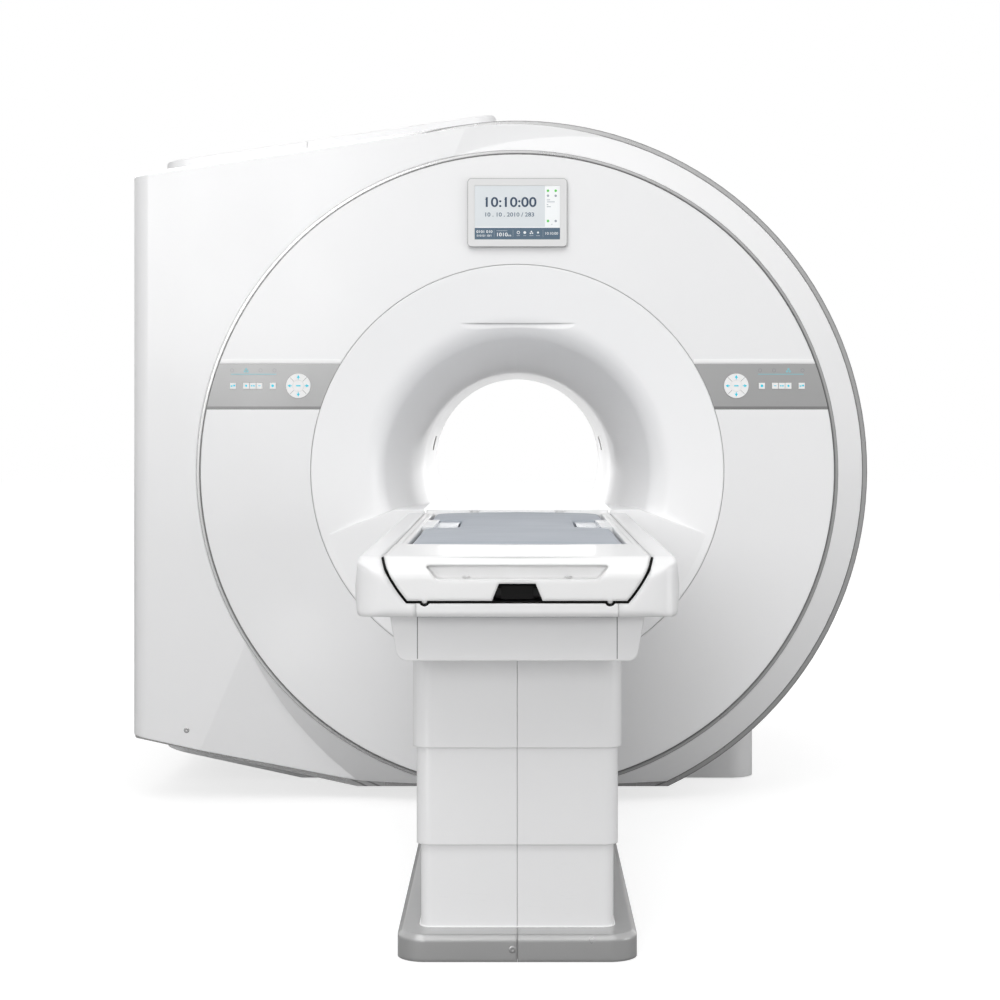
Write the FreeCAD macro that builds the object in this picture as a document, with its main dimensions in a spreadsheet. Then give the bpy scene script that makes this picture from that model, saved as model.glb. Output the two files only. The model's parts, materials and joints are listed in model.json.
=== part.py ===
import FreeCAD, Part
import os
from math import atan, atan2, degrees, pi, sin, tan

import Sketcher

# Whole-body MRI scanner: gantry, patient table and key strips.
# X runs to the viewer's right, Y into the bore and away from the table, Z up.
# The origin is on the floor, under the centre of the imaging field.
# Lengths are in millimetres and slopes in degrees.

DIMENSIONS = {
    # bore and its axis
    "bore_radius": 305,
    "liner_wall": 8,
    "throat_reach": 312,
    "rear_throat_reach": 688,
    "rear_reach": 800,
    # running and seating clearances
    "seat_gap": 0.3,
    "seam_gap": 0.6,
    "slide_gap": 0.5,
    "cut_margin": 20,
    # round face and its wing
    "face_reach": 887,
    "seam_radius": 623,
    "panel_inset": 94,
    "panel_radius": "=rim_radius - panel_inset",
    "ring_inset": 82,
    "ring_radius": "=rim_radius - ring_inset",
    "ring_proud": 2,
    "ring_groove": 3,
    "ring_depth": 17,
    "rim_radius": 1049,
    "panel_depth": 14,
    "cover_wall": 12,
    "cover_front_depth": 84,
    "cover_depth": 416.7,
    "bevel_depth": 60,
    "bevel_tilt": 8.4,
    "crease_turn": 23.1,
    "crease_offset": 549,
    "wing_reach": 1163,
    "wing_corner": 8,
    "wing_round": 50,
    "top_slope": 8.5,
    "keel_inset": 104,
    "keel_height": 55,
    "keel_drop": "=rim_radius - keel_inset",
    "axis_height": "=keel_drop + keel_height",
    "keel_reach": 485,
    "keel_slope": 12.35,
    "edge_proud": 17,
    "edge_start": 62,
    "edge_width": 24,
    "edge_groove": 6,
    "edge_groove_proud": 4,
    # flared bore covers
    "flare_wall": 8,
    "dish_depth": 20,
    "dish_radius": 470,
    "lip_bend": 85,
    "rear_dish_depth": 12,
    "rear_dish_radius": 380,
    "rear_lip_bend": 60,
    "shelf_drop": 116,
    "shelf_half": 369,
    "shelf_end_drop": 181,
    "shelf_end_half": 552,
    "apron_setback": 3,
    "slot_height": 446,
    "slot_half": 175,
    "slot_fade": 12,
    "window_height": 69,
    "window_tall": 50,
    "window_long": 100,
    "window_setback": 328,
    "bridge_hollow_half": 110,
    "bridge_floor": 40,
    "bridge_roof": 18,
    # body behind the face
    "body_inset": 19,
    "body_radius": "=rim_radius - body_inset",
    "body_reach": 1136,
    "body_corner": 16,
    "body_start": 470,
    "body_foot": 763,
    "body_floor_gap": 4,
    "body_slope": 12.2,
    "body_plan_round": 80,
    "mouth_inset": 70,
    "body_mouth": "=body_radius - mouth_inset",
    "body_flat_reach": 693,
    "body_split": 1,
    "rear_plate": 30,
    "cap_rise": 102,
    "cap_height": "=axis_height + body_radius + cap_rise",
    "cap_slope": 8.25,
    "cap_crest": 110,
    "cap_right": 67,
    "cap_left": 1136,
    "cap_seam": 675,
    "cap_front": 470,
    "cap_back": 560,
    "cap_round": 14,
    "cap_plan_round": 70,
    "cap_wall": 8,
    # frame that carries the face
    "frame_depth": 22,
    "strut_radius": 20,
    "strut_inset": 167,
    "strut_circle": "=ring_radius - strut_inset",
    "strut_count": 6,
    # magnet
    "vessel_inset": 105,
    "vessel_radius": "=body_radius - vessel_inset",
    "vessel_bore": 450,
    "vessel_front": 620,
    "vessel_back": 560,
    "vessel_round": 45,
    "gradient_wall": 70,
    "coil_wall": 12,
    "coil_inset": 45,
    "turret_x": 430,
    "turret_y": -60,
    "boss_inset": 45,
    "boss_top": "=axis_height + vessel_radius - boss_inset",
    "boss_long": 260,
    "turret_radius": 105,
    "head_radius": 62,
    "head_long": 175,
    "head_top": "=boss_top + head_long",
    "turret_long": 70,
    "turret_top": "=boss_top + turret_long",
    "cradle_y": 370,
    "cradle_thick": 110,
    "cradle_half": 540,
    "cradle_rise": 330,
    "foot_plate": 25,
    "anchor_x": 580,
    "foot_margin": 45,
    "anchor_radius": 13,
    "tie_width": 90,
    "tie_height": 60,
    "tie_x": 430,
    # key strips
    "strip_low": 186,
    "strip_high": 323,
    "key_height": 257,
    "pad_centre": "=seam_radius + pad_radius",
    "pad_radius": 37,
    "hub_radius": 16.9,
    "key_size": 18.4,
    "key_pitch": 20,
    "inner_key_offset": 114,
    "key_row_offset": 154,
    "outer_key_offset": 234,
    "key_proud": 2.5,
    "key_travel": 1.2,
    "key_clear": 0.4,
    "well_depth": 5,
    "pad_seam": 1,
    # display
    "display_inset": 177,
    "display_height": "=panel_radius - display_inset",
    "display_wide": 300,
    "display_tall": 206,
    "display_corner": 12,
    "display_proud": 15,
    "screen_wide": 257,
    "screen_tall": 162,
    "screen_depth": 4,
    # tabletop
    "table_drop": 126,
    "table_top": "=axis_height - table_drop",
    "table_under_drop": 90,
    "table_under": "=table_top - table_under_drop",
    "nose_under_drop": 87,
    "nose_under": "=table_top - nose_under_drop",
    "nose_front": 2906,
    "nose_back": 2430,
    "nose_half_top": 277,
    "nose_half_low": 225,
    "nose_slope_long": 60,
    "nose_slope_drop": 24,
    "shadow_gap": 5.8,
    "grip_low_drop": 44,
    "grip_low": "=table_top - grip_low_drop",
    "grip_high_drop": 16.5,
    "grip_high": "=table_top - grip_high_drop",
    "grip_half_top": 190,
    "grip_half_low": 166,
    "grip_depth": 34,
    "grip_round": 12,
    "grip_top_round": 3,
    "latch_top_drop": 52,
    "latch_top": "=table_top - latch_top_drop",
    "latch_half_top": 37.5,
    "latch_half_low": 52,
    "latch_depth": 60,
    "latch_pin_radius": 4,
    "latch_pin_height_drop": 59,
    "latch_pin_height": "=table_top - latch_pin_height_drop",
    "latch_half": 33,
    "latch_pin_half": 46,
    "latch_thick": 8,
    "latch_setback": 20,
    "board_radius": 303,
    "board_end": 900,
    "groove_half": 262,
    "groove_wide": 2.5,
    "groove_deep": 2,
    "notch_half": 128,
    "notch_wide": 25,
    "notch_long": 32,
    "notch_deep": 20,
    "head_strip_rise": 10,
    "head_strip_half": 272,
    "pad_half": 249.5,
    "pad_front": 2426,
    "pad_back": 935,
    "pad_recess": 28,
    "pad_edge_height": 27,
    "pad_crown": 5,
    "pad_tuck": 4.5,
    "pocket_inner": 157,
    "pocket_front": 1727,
    "pocket_back": 1345,
    "pocket_round": 18,
    "socket_gap": 3,
    "socket_tray": 23,
    "socket_block": 34,
    "socket_rise": 29,
    # table body
    "side_half_top": 328,
    "side_half": 336,
    "side_belly_drop": 65,
    "side_belly": "=table_top - side_belly_drop",
    "side_low_drop": 121,
    "side_low": "=table_top - side_low_drop",
    "side_end": 905,
    "side_plan_round": 62,
    "lip_half": 207,
    "lip_depth": 36,
    "pin_notch_half": 190,
    "pin_notch_radius": 11.5,
    "pin_radius": 5.5,
    "pin_long": 30,
    "rail_half": 135,
    "rail_wide": 30,
    "rail_rise": 4,
    "tray_front": 2835,
    "tray_back": 1350,
    "tray_half_top": 265,
    "tray_half_low": 249,
    "tray_low_drop": 218,
    "tray_low": "=table_top - tray_low_drop",
    "tray_top_drop": 124,
    "tray_top": "=table_top - tray_top_drop",
    "tray_round": 24,
    "tray_wall": 6,
    # telescoping column
    "stage_half": 209.5,
    "stage_front": 2655,
    "stage_back": 1400,
    "stage_round": 26,
    "stage_wall": 4,
    "middle_wall": 9,
    "upper_wall": 7.5,
    "lower_top": 265,
    "middle_low": 238,
    "middle_top": 480,
    "upper_low": 449,
    "column_half_x": 110,
    "column_half_y": 180,
    "column_wall": 8,
    "column_y": -2025,
    "column_top": 325,
    "tube_low": 185,
    "tube_top": 480,
    "ram_low": 350,
    # base
    "base_half": 258.5,
    "base_front": 2725,
    "base_back": 1325,
    "base_height": 58,
    "base_round": 62,
    "base_bevel": 10,
    "base_wall": 6,
    "base_floor_gap": 1,
    "base_plate": 14,
    "plate_half": 230,
    "plate_inset": 30,
    "link_half": 150,
    "table_anchor_x": 218,
    "table_anchor_y": 560,
    "table_anchor_radius": 7,
}

doc = FreeCAD.newDocument("mri_scanner")
dims = doc.addObject("Spreadsheet::Sheet", "dims")
for row, (alias, value) in enumerate(DIMENSIONS.items(), start=1):
    dims.set(f"A{row}", alias)
    dims.set(f"B{row}", str(value))
    dims.setAlias(f"B{row}", alias)
doc.recompute()

nodes = {}


def amount(text):
    """The number that an expression on the sheet stands for."""
    return float(dims.evalExpression(text))


def keep(name, item):
    """Makes an object one of the pieces that are written out."""
    item.Label = name
    nodes[name] = item
    return item


# ---- profiles -------------------------------------------------------------

def newSketch(body, role, away="0", rise="0"):
    """A sketch on one of the body's origin planes, moved by expressions."""
    plane = [item for item in body.Origin.OriginFeatures if item.Role == role][0]
    sketch = body.newObject("Sketcher::SketchObject", body.Name + "_sketch")
    sketch.AttachmentSupport = [(plane, "")]
    sketch.MapMode = "FlatFace"
    sketch.setExpression("AttachmentOffset.Base.z", away)
    sketch.setExpression("AttachmentOffset.Base.y", rise)
    return sketch


def arcBetween(centre, start, end):
    """A short arc from start to end, and which of its ends is the start."""
    first = atan2(start.y - centre.y, start.x - centre.x)
    last = atan2(end.y - centre.y, end.x - centre.x)
    circle = Part.Circle(centre, FreeCAD.Vector(0, 0, 1), (start - centre).Length)
    if (last - first) % (2 * pi) < pi:
        return Part.ArcOfCircle(circle, first, last), 1, 2
    return Part.ArcOfCircle(circle, last, first), 2, 1


def drawProfile(sketch, corners, arcs=None):
    """Closed outline through corners (u, v, radius, bound), each an expression.

    arcs gives the centre of each curved side by the corner it leaves; bound
    says which of a corner's coordinates are set, both where it is left out."""
    arcs = arcs or {}
    count = len(corners)
    spots = [FreeCAD.Vector(amount(corner[0]), amount(corner[1]), 0) for corner in corners]
    rounds = [corner[2] if len(corner) > 2 else "" for corner in corners]
    bounds = [corner[3] if len(corner) > 3 else "uv" for corner in corners]
    leave, arrive, centres = list(spots), list(spots), {}
    for i, text in enumerate(rounds):
        if not text:
            continue
        back = (spots[i - 1] - spots[i]).normalize()
        ahead = (spots[(i + 1) % count] - spots[i]).normalize()
        half = back.getAngle(ahead) / 2
        arrive[i] = spots[i] + back * (amount(text) / tan(half))
        leave[i] = spots[i] + ahead * (amount(text) / tan(half))
        centres[i] = spots[i] + (back + ahead).normalize() * (amount(text) / sin(half))
    rules, ties, sides = [], [], []

    def tie(rule, text):
        rules.append(rule)
        ties.append((len(rules) - 1, text))

    def hold(kind, geo, point, value, text):
        tie(Sketcher.Constraint(kind, -1, 1, geo, point, value), text)

    for i in range(count):
        start, end = leave[i], arrive[(i + 1) % count]
        if i in arcs:
            centre = FreeCAD.Vector(amount(arcs[i][0]), amount(arcs[i][1]), 0)
            curve, first, last = arcBetween(centre, start, end)
            geo = sketch.addGeometry(curve, False)
            hold("DistanceX", geo, 3, centre.x, arcs[i][0])
            hold("DistanceY", geo, 3, centre.y, arcs[i][1])
        else:
            geo, first, last = sketch.addGeometry(Part.LineSegment(start, end), False), 1, 2
        sides.append((geo, first, last))
    for i, corner in enumerate(corners):
        before, after = sides[i - 1], sides[i]
        held = (after[0], after[1])
        if rounds[i]:
            curve, first, last = arcBetween(centres[i], arrive[i], leave[i])
            geo = sketch.addGeometry(curve, False)
            rules.append(Sketcher.Constraint("Tangent", before[0], before[2], geo, first))
            rules.append(Sketcher.Constraint("Tangent", geo, last, after[0], after[1]))
            tie(Sketcher.Constraint("Radius", geo, amount(rounds[i])), rounds[i])
            point = sketch.addGeometry(Part.Point(spots[i]), True)
            rules.append(Sketcher.Constraint("PointOnObject", point, 1, before[0]))
            rules.append(Sketcher.Constraint("PointOnObject", point, 1, after[0]))
            held = (point, 1)
        else:
            rules.append(Sketcher.Constraint("Coincident", before[0], before[2], *held))
        if "u" in bounds[i]:
            hold("DistanceX", *held, spots[i].x, corner[0])
        if "v" in bounds[i]:
            hold("DistanceY", *held, spots[i].y, corner[1])
    sketch.addConstraint(rules)
    for index, text in ties:
        sketch.setExpression(f"Constraints[{index}]", text)


def padProfile(name, role, corners, away, length, rise="0", arcs=None):
    """A body padded from one closed outline."""
    body = doc.addObject("PartDesign::Body", name)
    sketch = newSketch(body, role, away, rise)
    drawProfile(sketch, corners, arcs)
    pad = body.newObject("PartDesign::Pad", name + "_pad")
    pad.Profile = sketch
    pad.setExpression("Length", length)
    return body


def plateY(name, corners, front, back, arcs=None, rise="0"):
    """Outline in X and Z, from Y = front to Y = back."""
    return padProfile(name, "XZ_Plane", corners, f"-({back})", f"({back}) - ({front})", rise, arcs)


def plateX(name, corners, low, high, arcs=None):
    """Outline in Y and Z, from X = low to X = high."""
    return padProfile(name, "YZ_Plane", corners, low, f"({high}) - ({low})", "0", arcs)


def plateZ(name, corners, low, high, arcs=None):
    """Outline in X and Y, from Z = low to Z = high."""
    return padProfile(name, "XY_Plane", corners, low, f"({high}) - ({low})", "0", arcs)


def turnProfile(name, corners):
    """A body turned about the bore axis from an outline in Y and radius."""
    body = doc.addObject("PartDesign::Body", name)
    sketch = newSketch(body, "YZ_Plane", "0", "dims.axis_height")
    drawProfile(sketch, corners)
    return turnSketch(body, sketch)


def turnSketch(body, sketch):
    turn = body.newObject("PartDesign::Revolution", body.Name + "_turn")
    turn.Profile = sketch
    turn.ReferenceAxis = (sketch, ["H_Axis"])
    turn.Angle = 360
    return body


def ring(name, front, back, inner, outer, round_text=""):
    """A plain ring about the bore axis."""
    corners = [(front, inner), (front, outer), (back, outer), (back, inner)]
    if round_text:
        corners[1:3] = [(front, outer, round_text), (back, outer, round_text)]
    return turnProfile(name, corners)


# ---- primitives and booleans -----------------------------------------------

def place(item, at):
    for axis, text in zip("xyz", at):
        item.setExpression(f"Placement.Base.{axis}", text)
    return item


def block(name, low, high):
    """A box between two corners, each three expressions."""
    item = doc.addObject("Part::Box", name)
    for side, start, end in zip(("Length", "Width", "Height"), low, high):
        item.setExpression(side, f"({end}) - ({start})")
    return place(item, low)


def rodY(name, radius, front, back, x="0", z="dims.axis_height"):
    """A round bar along Y."""
    item = doc.addObject("Part::Cylinder", name)
    item.Placement = FreeCAD.Placement(FreeCAD.Vector(), FreeCAD.Rotation(FreeCAD.Vector(1, 0, 0), -90))
    item.setExpression("Radius", radius)
    item.setExpression("Height", f"({back}) - ({front})")
    return place(item, (x, front, z))


def rodZ(name, radius, low, high, x="0", y="0"):
    """An upright round bar."""
    item = doc.addObject("Part::Cylinder", name)
    item.setExpression("Radius", radius)
    item.setExpression("Height", f"({high}) - ({low})")
    return place(item, (x, y, low))


def fuse(name, *items):
    item = doc.addObject("Part::MultiFuse", name)
    item.Shapes = list(items)
    item.Refine = True
    return item


def cut(name, base, *tools):
    item = doc.addObject("Part::Cut", name)
    item.Base = base
    item.Tool = tools[0] if len(tools) == 1 else fuse(name + "_tools", *tools)
    item.Refine = True
    return item


def common(name, first, second):
    item = doc.addObject("Part::Common", name)
    item.Base = first
    item.Tool = second
    item.Refine = True
    return item


# ---- round face, wing and their trims ---------------------------------------

FACE = "-dims.face_reach"


def faceOutline(grow, side_grow):
    """Circle with the squared-off wing on its left, about the bore axis."""
    radius = f"(dims.rim_radius + {grow})"
    left = f"(dims.wing_reach + {side_grow})"
    drop = f"(dims.keel_drop + {grow})"
    keel = f"(dims.keel_reach + {grow} * tan(dims.keel_slope / 2))"
    corners = [
        (f"-{radius} * sin(dims.top_slope)", f"{radius} * cos(dims.top_slope)"),
        (f"-{left}", f"({radius} - {left} * sin(dims.top_slope)) / cos(dims.top_slope)", "dims.wing_corner"),
        (f"-{left}", f"-{drop} + ({left} - {keel}) * tan(dims.keel_slope)", "dims.wing_corner"),
        (f"-{keel}", f"-{drop}"),
        (f"sqrt({radius}^2 - {drop}^2)", f"-{drop}", "", "v"),
    ]
    return corners, {4: ("0", "0")}


def facePlate(name, grow, front, back, side_grow=None):
    corners, arcs = faceOutline(grow, grow if side_grow is None else side_grow)
    return plateY(name, corners, front, back, arcs, "dims.axis_height")


def bevelTool():
    """What is cut off the face: outside a cone, in front of a tilted plane that fades it out to the left."""
    front = f"{FACE} - dims.cut_margin"
    back = f"{FACE} + dims.bevel_depth + dims.cut_margin"
    spread = "(dims.rim_radius - dims.ring_radius) / dims.bevel_depth"
    disc = rodY("bevel_disc", "dims.rim_radius * 1.5", front, back)
    cone = doc.addObject("Part::Cone", "bevel_cone")
    cone.Placement = FreeCAD.Placement(FreeCAD.Vector(), FreeCAD.Rotation(FreeCAD.Vector(1, 0, 0), -90))
    cone.setExpression("Radius1", f"dims.ring_radius - dims.cut_margin * {spread}")
    cone.setExpression("Radius2", f"dims.rim_radius + dims.cut_margin * {spread}")
    cone.setExpression("Height", f"({back}) - ({front})")
    place(cone, ("0", front, "dims.axis_height"))
    wedge = doc.addObject("Part::Box", "bevel_wedge")
    wedge.setExpression("Length", "dims.rim_radius * 3")
    wedge.setExpression("Width", "dims.rim_radius")
    wedge.setExpression("Height", "dims.rim_radius * 4")
    turn = FreeCAD.Rotation(FreeCAD.Vector(0, 1, 0), amount("dims.crease_turn"))
    tilt = FreeCAD.Rotation(FreeCAD.Vector(0, 0, 1), amount("dims.bevel_tilt"))
    spin = turn.multiply(tilt)
    start = FreeCAD.Vector(-amount("dims.crease_offset"), 0, 0)
    corner = FreeCAD.Vector(0, -amount("dims.rim_radius"), -amount("dims.rim_radius") * 2)
    centre = FreeCAD.Vector(0, amount(FACE), amount("dims.axis_height"))
    wedge.Placement = FreeCAD.Placement(centre + turn.multVec(start) + spin.multVec(corner), spin)
    return common("bevel_tool", cut("bevel_outside", disc, cone), wedge)


def makeFace():
    back = f"{FACE} + dims.cover_depth"
    plan = plateZ("face_plan", [
        ("-dims.wing_reach", FACE, "dims.wing_round"),
        ("dims.rim_radius + dims.cut_margin", FACE),
        ("dims.rim_radius + dims.cut_margin", back),
        ("-dims.wing_reach", back)], "0", "dims.axis_height + dims.rim_radius + dims.cut_margin")
    solid = common("face_solid", facePlate("face_slab", "0", FACE, back), plan)
    inside = facePlate("face_inside", "-dims.cover_wall", f"{FACE} + dims.cover_front_depth",
                       f"{back} + dims.cut_margin")
    middle = rodY("face_middle", "dims.ring_radius + dims.seat_gap", f"{FACE} - dims.cut_margin",
                  f"{back} + dims.cut_margin")
    keep("front_outer_cover", cut("front_outer_cover", solid, inside, middle, bevelTool()))

    # the trim has a dark groove next to the cover and a proud band behind it
    start = f"{FACE} + dims.edge_start"
    step, end = f"{start} + dims.edge_groove", f"{start} + dims.edge_width"
    thin, flush = "dims.edge_groove_proud", "dims.seat_gap * 4"
    band = fuse("edge_bands", facePlate("edge_thin", thin, start, step, flush),
                facePlate("edge_outer", "dims.edge_proud", step, end, flush))
    keep("face_edge_trim", cut("face_edge_trim", band, facePlate("edge_inner", "dims.seat_gap", start, end)))
    inner, groove = "dims.panel_radius + dims.seat_gap", "dims.panel_radius + dims.seat_gap + dims.ring_groove"
    low, proud, deep = f"{FACE} + dims.ring_groove", f"{FACE} - dims.ring_proud", f"{FACE} + dims.ring_depth"
    keep("face_trim_ring", turnProfile("face_trim_ring", [
        (low, inner), (low, groove), (proud, groove), (proud, "dims.ring_radius"),
        (deep, "dims.ring_radius"), (deep, inner)]))


def halfSpace(name, low_z, high_z):
    """A box across the whole face between two heights over the bore axis."""
    wide = "(dims.rim_radius + dims.cut_margin)"
    return block(name, (f"-{wide}", f"{FACE} - dims.cut_margin", f"dims.axis_height + {low_z}"),
                 (wide, f"{FACE} + dims.cover_depth", f"dims.axis_height + {high_z}"))


def faceRing(name):
    return ring(name, FACE, f"{FACE} + dims.panel_depth", "dims.seam_radius + dims.seat_gap",
                "dims.panel_radius")


def makePanels():
    far = "dims.rim_radius"
    keep("upper_face_panel", common("upper_face_panel", faceRing("upper_ring"),
                                    halfSpace("upper_half", "dims.strip_high + dims.seat_gap", far)))
    keep("lower_face_panel", common("lower_face_panel", faceRing("lower_ring"),
                                    halfSpace("lower_half", f"-{far}", "dims.strip_low - dims.seat_gap")))


# ---- key strips ---------------------------------------------------------------

SQUARE_KEYS = {
    "inner_key": "(dims.seam_radius + dims.inner_key_offset)",
    "first_row_key": "(dims.seam_radius + dims.key_row_offset)",
    "second_row_key": "(dims.seam_radius + dims.key_row_offset + dims.key_pitch)",
    "third_row_key": "(dims.seam_radius + dims.key_row_offset + 2 * dims.key_pitch)",
    "outer_key": "(dims.seam_radius + dims.outer_key_offset)",
}


def wellBlock(name, side, near, far):
    """A square well in a key strip, between two distances from the bore's middle plane."""
    half = "(dims.key_size / 2 + dims.key_clear)"
    edges = (near, far) if side > 0 else (f"-{far}", f"-{near}")
    height = "dims.axis_height + dims.key_height"
    return block(name, (f"{edges[0]} - {half}", f"{FACE} - dims.cut_margin", f"{height} - {half}"),
                 (f"{edges[1]} + {half}", f"{FACE} + dims.well_depth", f"{height} + {half}"))


def makeStrip(hand, side):
    height = "dims.axis_height + dims.key_height"
    centre = f"{side} * dims.pad_centre"
    far = "dims.panel_radius + dims.cut_margin"
    low, high = ("0", far) if side > 0 else (f"-({far})", "0")
    band = block(f"{hand}_band", (low, f"{FACE} - dims.cut_margin", "dims.axis_height + dims.strip_low"),
                 (high, f"{FACE} + dims.cover_depth", "dims.axis_height + dims.strip_high"))
    strip = common(f"{hand}_strip", faceRing(f"{hand}_ring"), band)
    wells = [
        rodY(f"{hand}_pad_well", "dims.pad_radius + dims.key_clear", f"{FACE} - dims.cut_margin",
             f"{FACE} + dims.well_depth", centre, height),
        wellBlock(f"{hand}_inner_well", side, SQUARE_KEYS["inner_key"], SQUARE_KEYS["inner_key"]),
        wellBlock(f"{hand}_row_well", side, SQUARE_KEYS["first_row_key"], SQUARE_KEYS["third_row_key"]),
        wellBlock(f"{hand}_outer_well", side, SQUARE_KEYS["outer_key"], SQUARE_KEYS["outer_key"]),
    ]
    keep(f"{hand}_control_panel", cut(f"{hand}_control_panel", strip, *wells))

    front = f"{FACE} - dims.key_proud"
    back = f"{FACE} + dims.well_depth - dims.key_travel - dims.slide_gap"
    disc = rodY(f"{hand}_pad_disc", "dims.pad_radius", front, back, centre, height)
    hole = rodY(f"{hand}_pad_hole", "dims.hub_radius + dims.key_clear", f"{front} - dims.cut_margin",
                f"{back} + dims.cut_margin", centre, height)
    seams = []
    for i, angle in enumerate((45, -45)):
        seam = doc.addObject("Part::Box", f"{hand}_pad_seam_{i}")
        seam.setExpression("Length", "dims.pad_radius * 2.2")
        seam.setExpression("Width", "dims.pad_seam * 2")
        seam.setExpression("Height", "dims.pad_seam")
        spin = FreeCAD.Rotation(FreeCAD.Vector(0, 1, 0), angle)
        corner = FreeCAD.Vector(-amount("dims.pad_radius * 1.1"), -amount("dims.pad_seam"),
                                -amount("dims.pad_seam / 2"))
        middle = FreeCAD.Vector(amount(centre), amount(front), amount(height))
        seam.Placement = FreeCAD.Placement(middle + spin.multVec(corner), spin)
        seams.append(seam)
    keep(f"{hand}_rocker_pad", cut(f"{hand}_rocker_pad", disc, hole, *seams))
    keep(f"{hand}_centre_key", rodY(f"{hand}_centre_key", "dims.hub_radius", front, back, centre, height))
    half = "dims.key_size / 2"
    for name, place_x in SQUARE_KEYS.items():
        x = f"{side} * {place_x}"
        keep(f"{hand}_{name}", block(f"{hand}_{name}", (f"{x} - {half}", front, f"{height} - {half}"),
                                     (f"{x} + {half}", back, f"{height} + {half}")))


# ---- display ------------------------------------------------------------------

def roundedRectangle(wide, tall, middle, corner):
    return [(f"-{wide} / 2", f"{middle} - {tall} / 2", corner), (f"{wide} / 2", f"{middle} - {tall} / 2", corner),
            (f"{wide} / 2", f"{middle} + {tall} / 2", corner), (f"-{wide} / 2", f"{middle} + {tall} / 2", corner)]


def makeDisplay():
    middle = "dims.axis_height + dims.display_height"
    front = f"{FACE} - dims.display_proud"
    bezel = plateY("display_box", roundedRectangle("dims.display_wide", "dims.display_tall", middle,
                                                   "dims.display_corner"), front, FACE)
    half, rise = "dims.screen_wide / 2", "dims.screen_tall / 2"
    hole = block("display_hole", (f"-{half}", f"{front} - dims.cut_margin", f"{middle} - {rise}"),
                 (half, f"{front} + dims.screen_depth", f"{middle} + {rise}"))
    keep("display_bezel", cut("display_bezel", bezel, hole))
    inset = "dims.seat_gap"
    keep("display_screen", block("display_screen",
                                 (f"-{half} + {inset}", f"{front} + 1", f"{middle} - {rise} + {inset}"),
                                 (f"{half} - {inset}", f"{front} + dims.screen_depth", f"{middle} + {rise} - {inset}")))


# ---- flared covers --------------------------------------------------------------

def flareForm(name, face, throat, dish_depth, dish_radius, bend, outward, walled):
    """Turned flare: a dished rim, a tight bend and a long bend that runs into the bore.

    outward is 1 where the throat lies towards +Y of the face, and -1 at the back.
    walled gives the thin cover; without it the form is the air inside."""
    body = doc.addObject("PartDesign::Body", name)
    sketch = newSketch(body, "YZ_Plane", "0", "dims.axis_height")
    wall, small = amount("dims.flare_wall"), amount(bend)
    face_y, throat_y, bore = amount(face), amount(throat), amount("dims.bore_radius")
    rim = FreeCAD.Vector(face_y, amount("dims.seam_radius - dims.seat_gap"), 0)
    turn = FreeCAD.Vector(face_y + outward * amount(dish_depth), amount(dish_radius), 0)
    along = (turn - rim).normalize()
    inward = FreeCAD.Vector(-along.y, along.x, 0) * outward
    near = turn + inward * small
    run, climb = near.x - throat_y, near.y - bore
    large = (run ** 2 + climb ** 2 - small ** 2) / (2 * (climb - small))
    far = FreeCAD.Vector(throat_y, bore + large, 0)
    toward = (near - far).normalize()
    mouth = FreeCAD.Vector(throat_y, bore, 0)
    spots = [rim, turn, far + toward * large, mouth]
    centres = {1: near, 2: far}
    if walled:
        behind = turn + inward * wall
        spots += [mouth + FreeCAD.Vector(0, wall, 0), far + toward * (large - wall), behind,
                  behind - along * ((behind.y - rim.y) / along.y)]
        centres.update({4: far, 5: near})
    else:
        spots += [FreeCAD.Vector(throat_y, 0, 0), FreeCAD.Vector(face_y, 0, 0)]
    sides = []
    for i, spot in enumerate(spots):
        end = spots[(i + 1) % len(spots)]
        if i in centres:
            curve, first, last = arcBetween(centres[i], spot, end)
            sides.append((sketch.addGeometry(curve, False), first, last))
        else:
            sides.append((sketch.addGeometry(Part.LineSegment(spot, end), False), 1, 2))
    rules = []
    smooth = (1, 2, 5, 6) if walled else (1, 2)
    for i in range(len(sides)):
        before, after = sides[i - 1], sides[i]
        kind = "Tangent" if i in smooth else "Coincident"
        rules.append(Sketcher.Constraint(kind, before[0], before[2], after[0], after[1]))
    rules.append(Sketcher.Constraint("Vertical", sides[3][0]))
    if walled:
        rules.append(Sketcher.Constraint("Coincident", sides[1][0], 3, sides[5][0], 3))
        rules.append(Sketcher.Constraint("Coincident", sides[2][0], 3, sides[4][0], 3))
        rules.append(Sketcher.Constraint("Parallel", sides[0][0], sides[6][0]))
        rules.append(Sketcher.Constraint("Horizontal", sides[7][0]))
    else:
        rules.append(Sketcher.Constraint("Horizontal", sides[4][0]))
        rules.append(Sketcher.Constraint("Vertical", sides[5][0]))
    held = [
        ("DistanceX", sides[0][0], 1, face), ("DistanceY", sides[0][0], 1, "dims.seam_radius - dims.seat_gap"),
        ("DistanceX", sides[1][0], sides[1][1], f"({face}) + {outward} * {dish_depth}"),
        ("DistanceY", sides[1][0], sides[1][1], dish_radius),
        ("DistanceX", sides[3][0], 1, throat), ("DistanceY", sides[3][0], 1, "dims.bore_radius"),
        ("DistanceX", sides[2][0], 3, throat),
    ]
    first_tie = len(rules)
    for kind, geo, point, text in held:
        rules.append(Sketcher.Constraint(kind, -1, 1, geo, point, amount(text)))
    texts = [item[3] for item in held] + [bend]
    rules.append(Sketcher.Constraint("Radius", sides[1][0], small))
    if walled:
        rules.append(Sketcher.Constraint("DistanceY", sides[3][0], 1, sides[3][0], 2, wall))
        texts.append("dims.flare_wall")
    else:
        rules.append(Sketcher.Constraint("DistanceY", -1, 1, sides[4][0], 1, 0))
        texts.append("0")
    sketch.addConstraint(rules)
    for i, text in enumerate(texts):
        sketch.setExpression(f"Constraints[{first_tie + i}]", text)
    return turnSketch(body, sketch)


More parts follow.
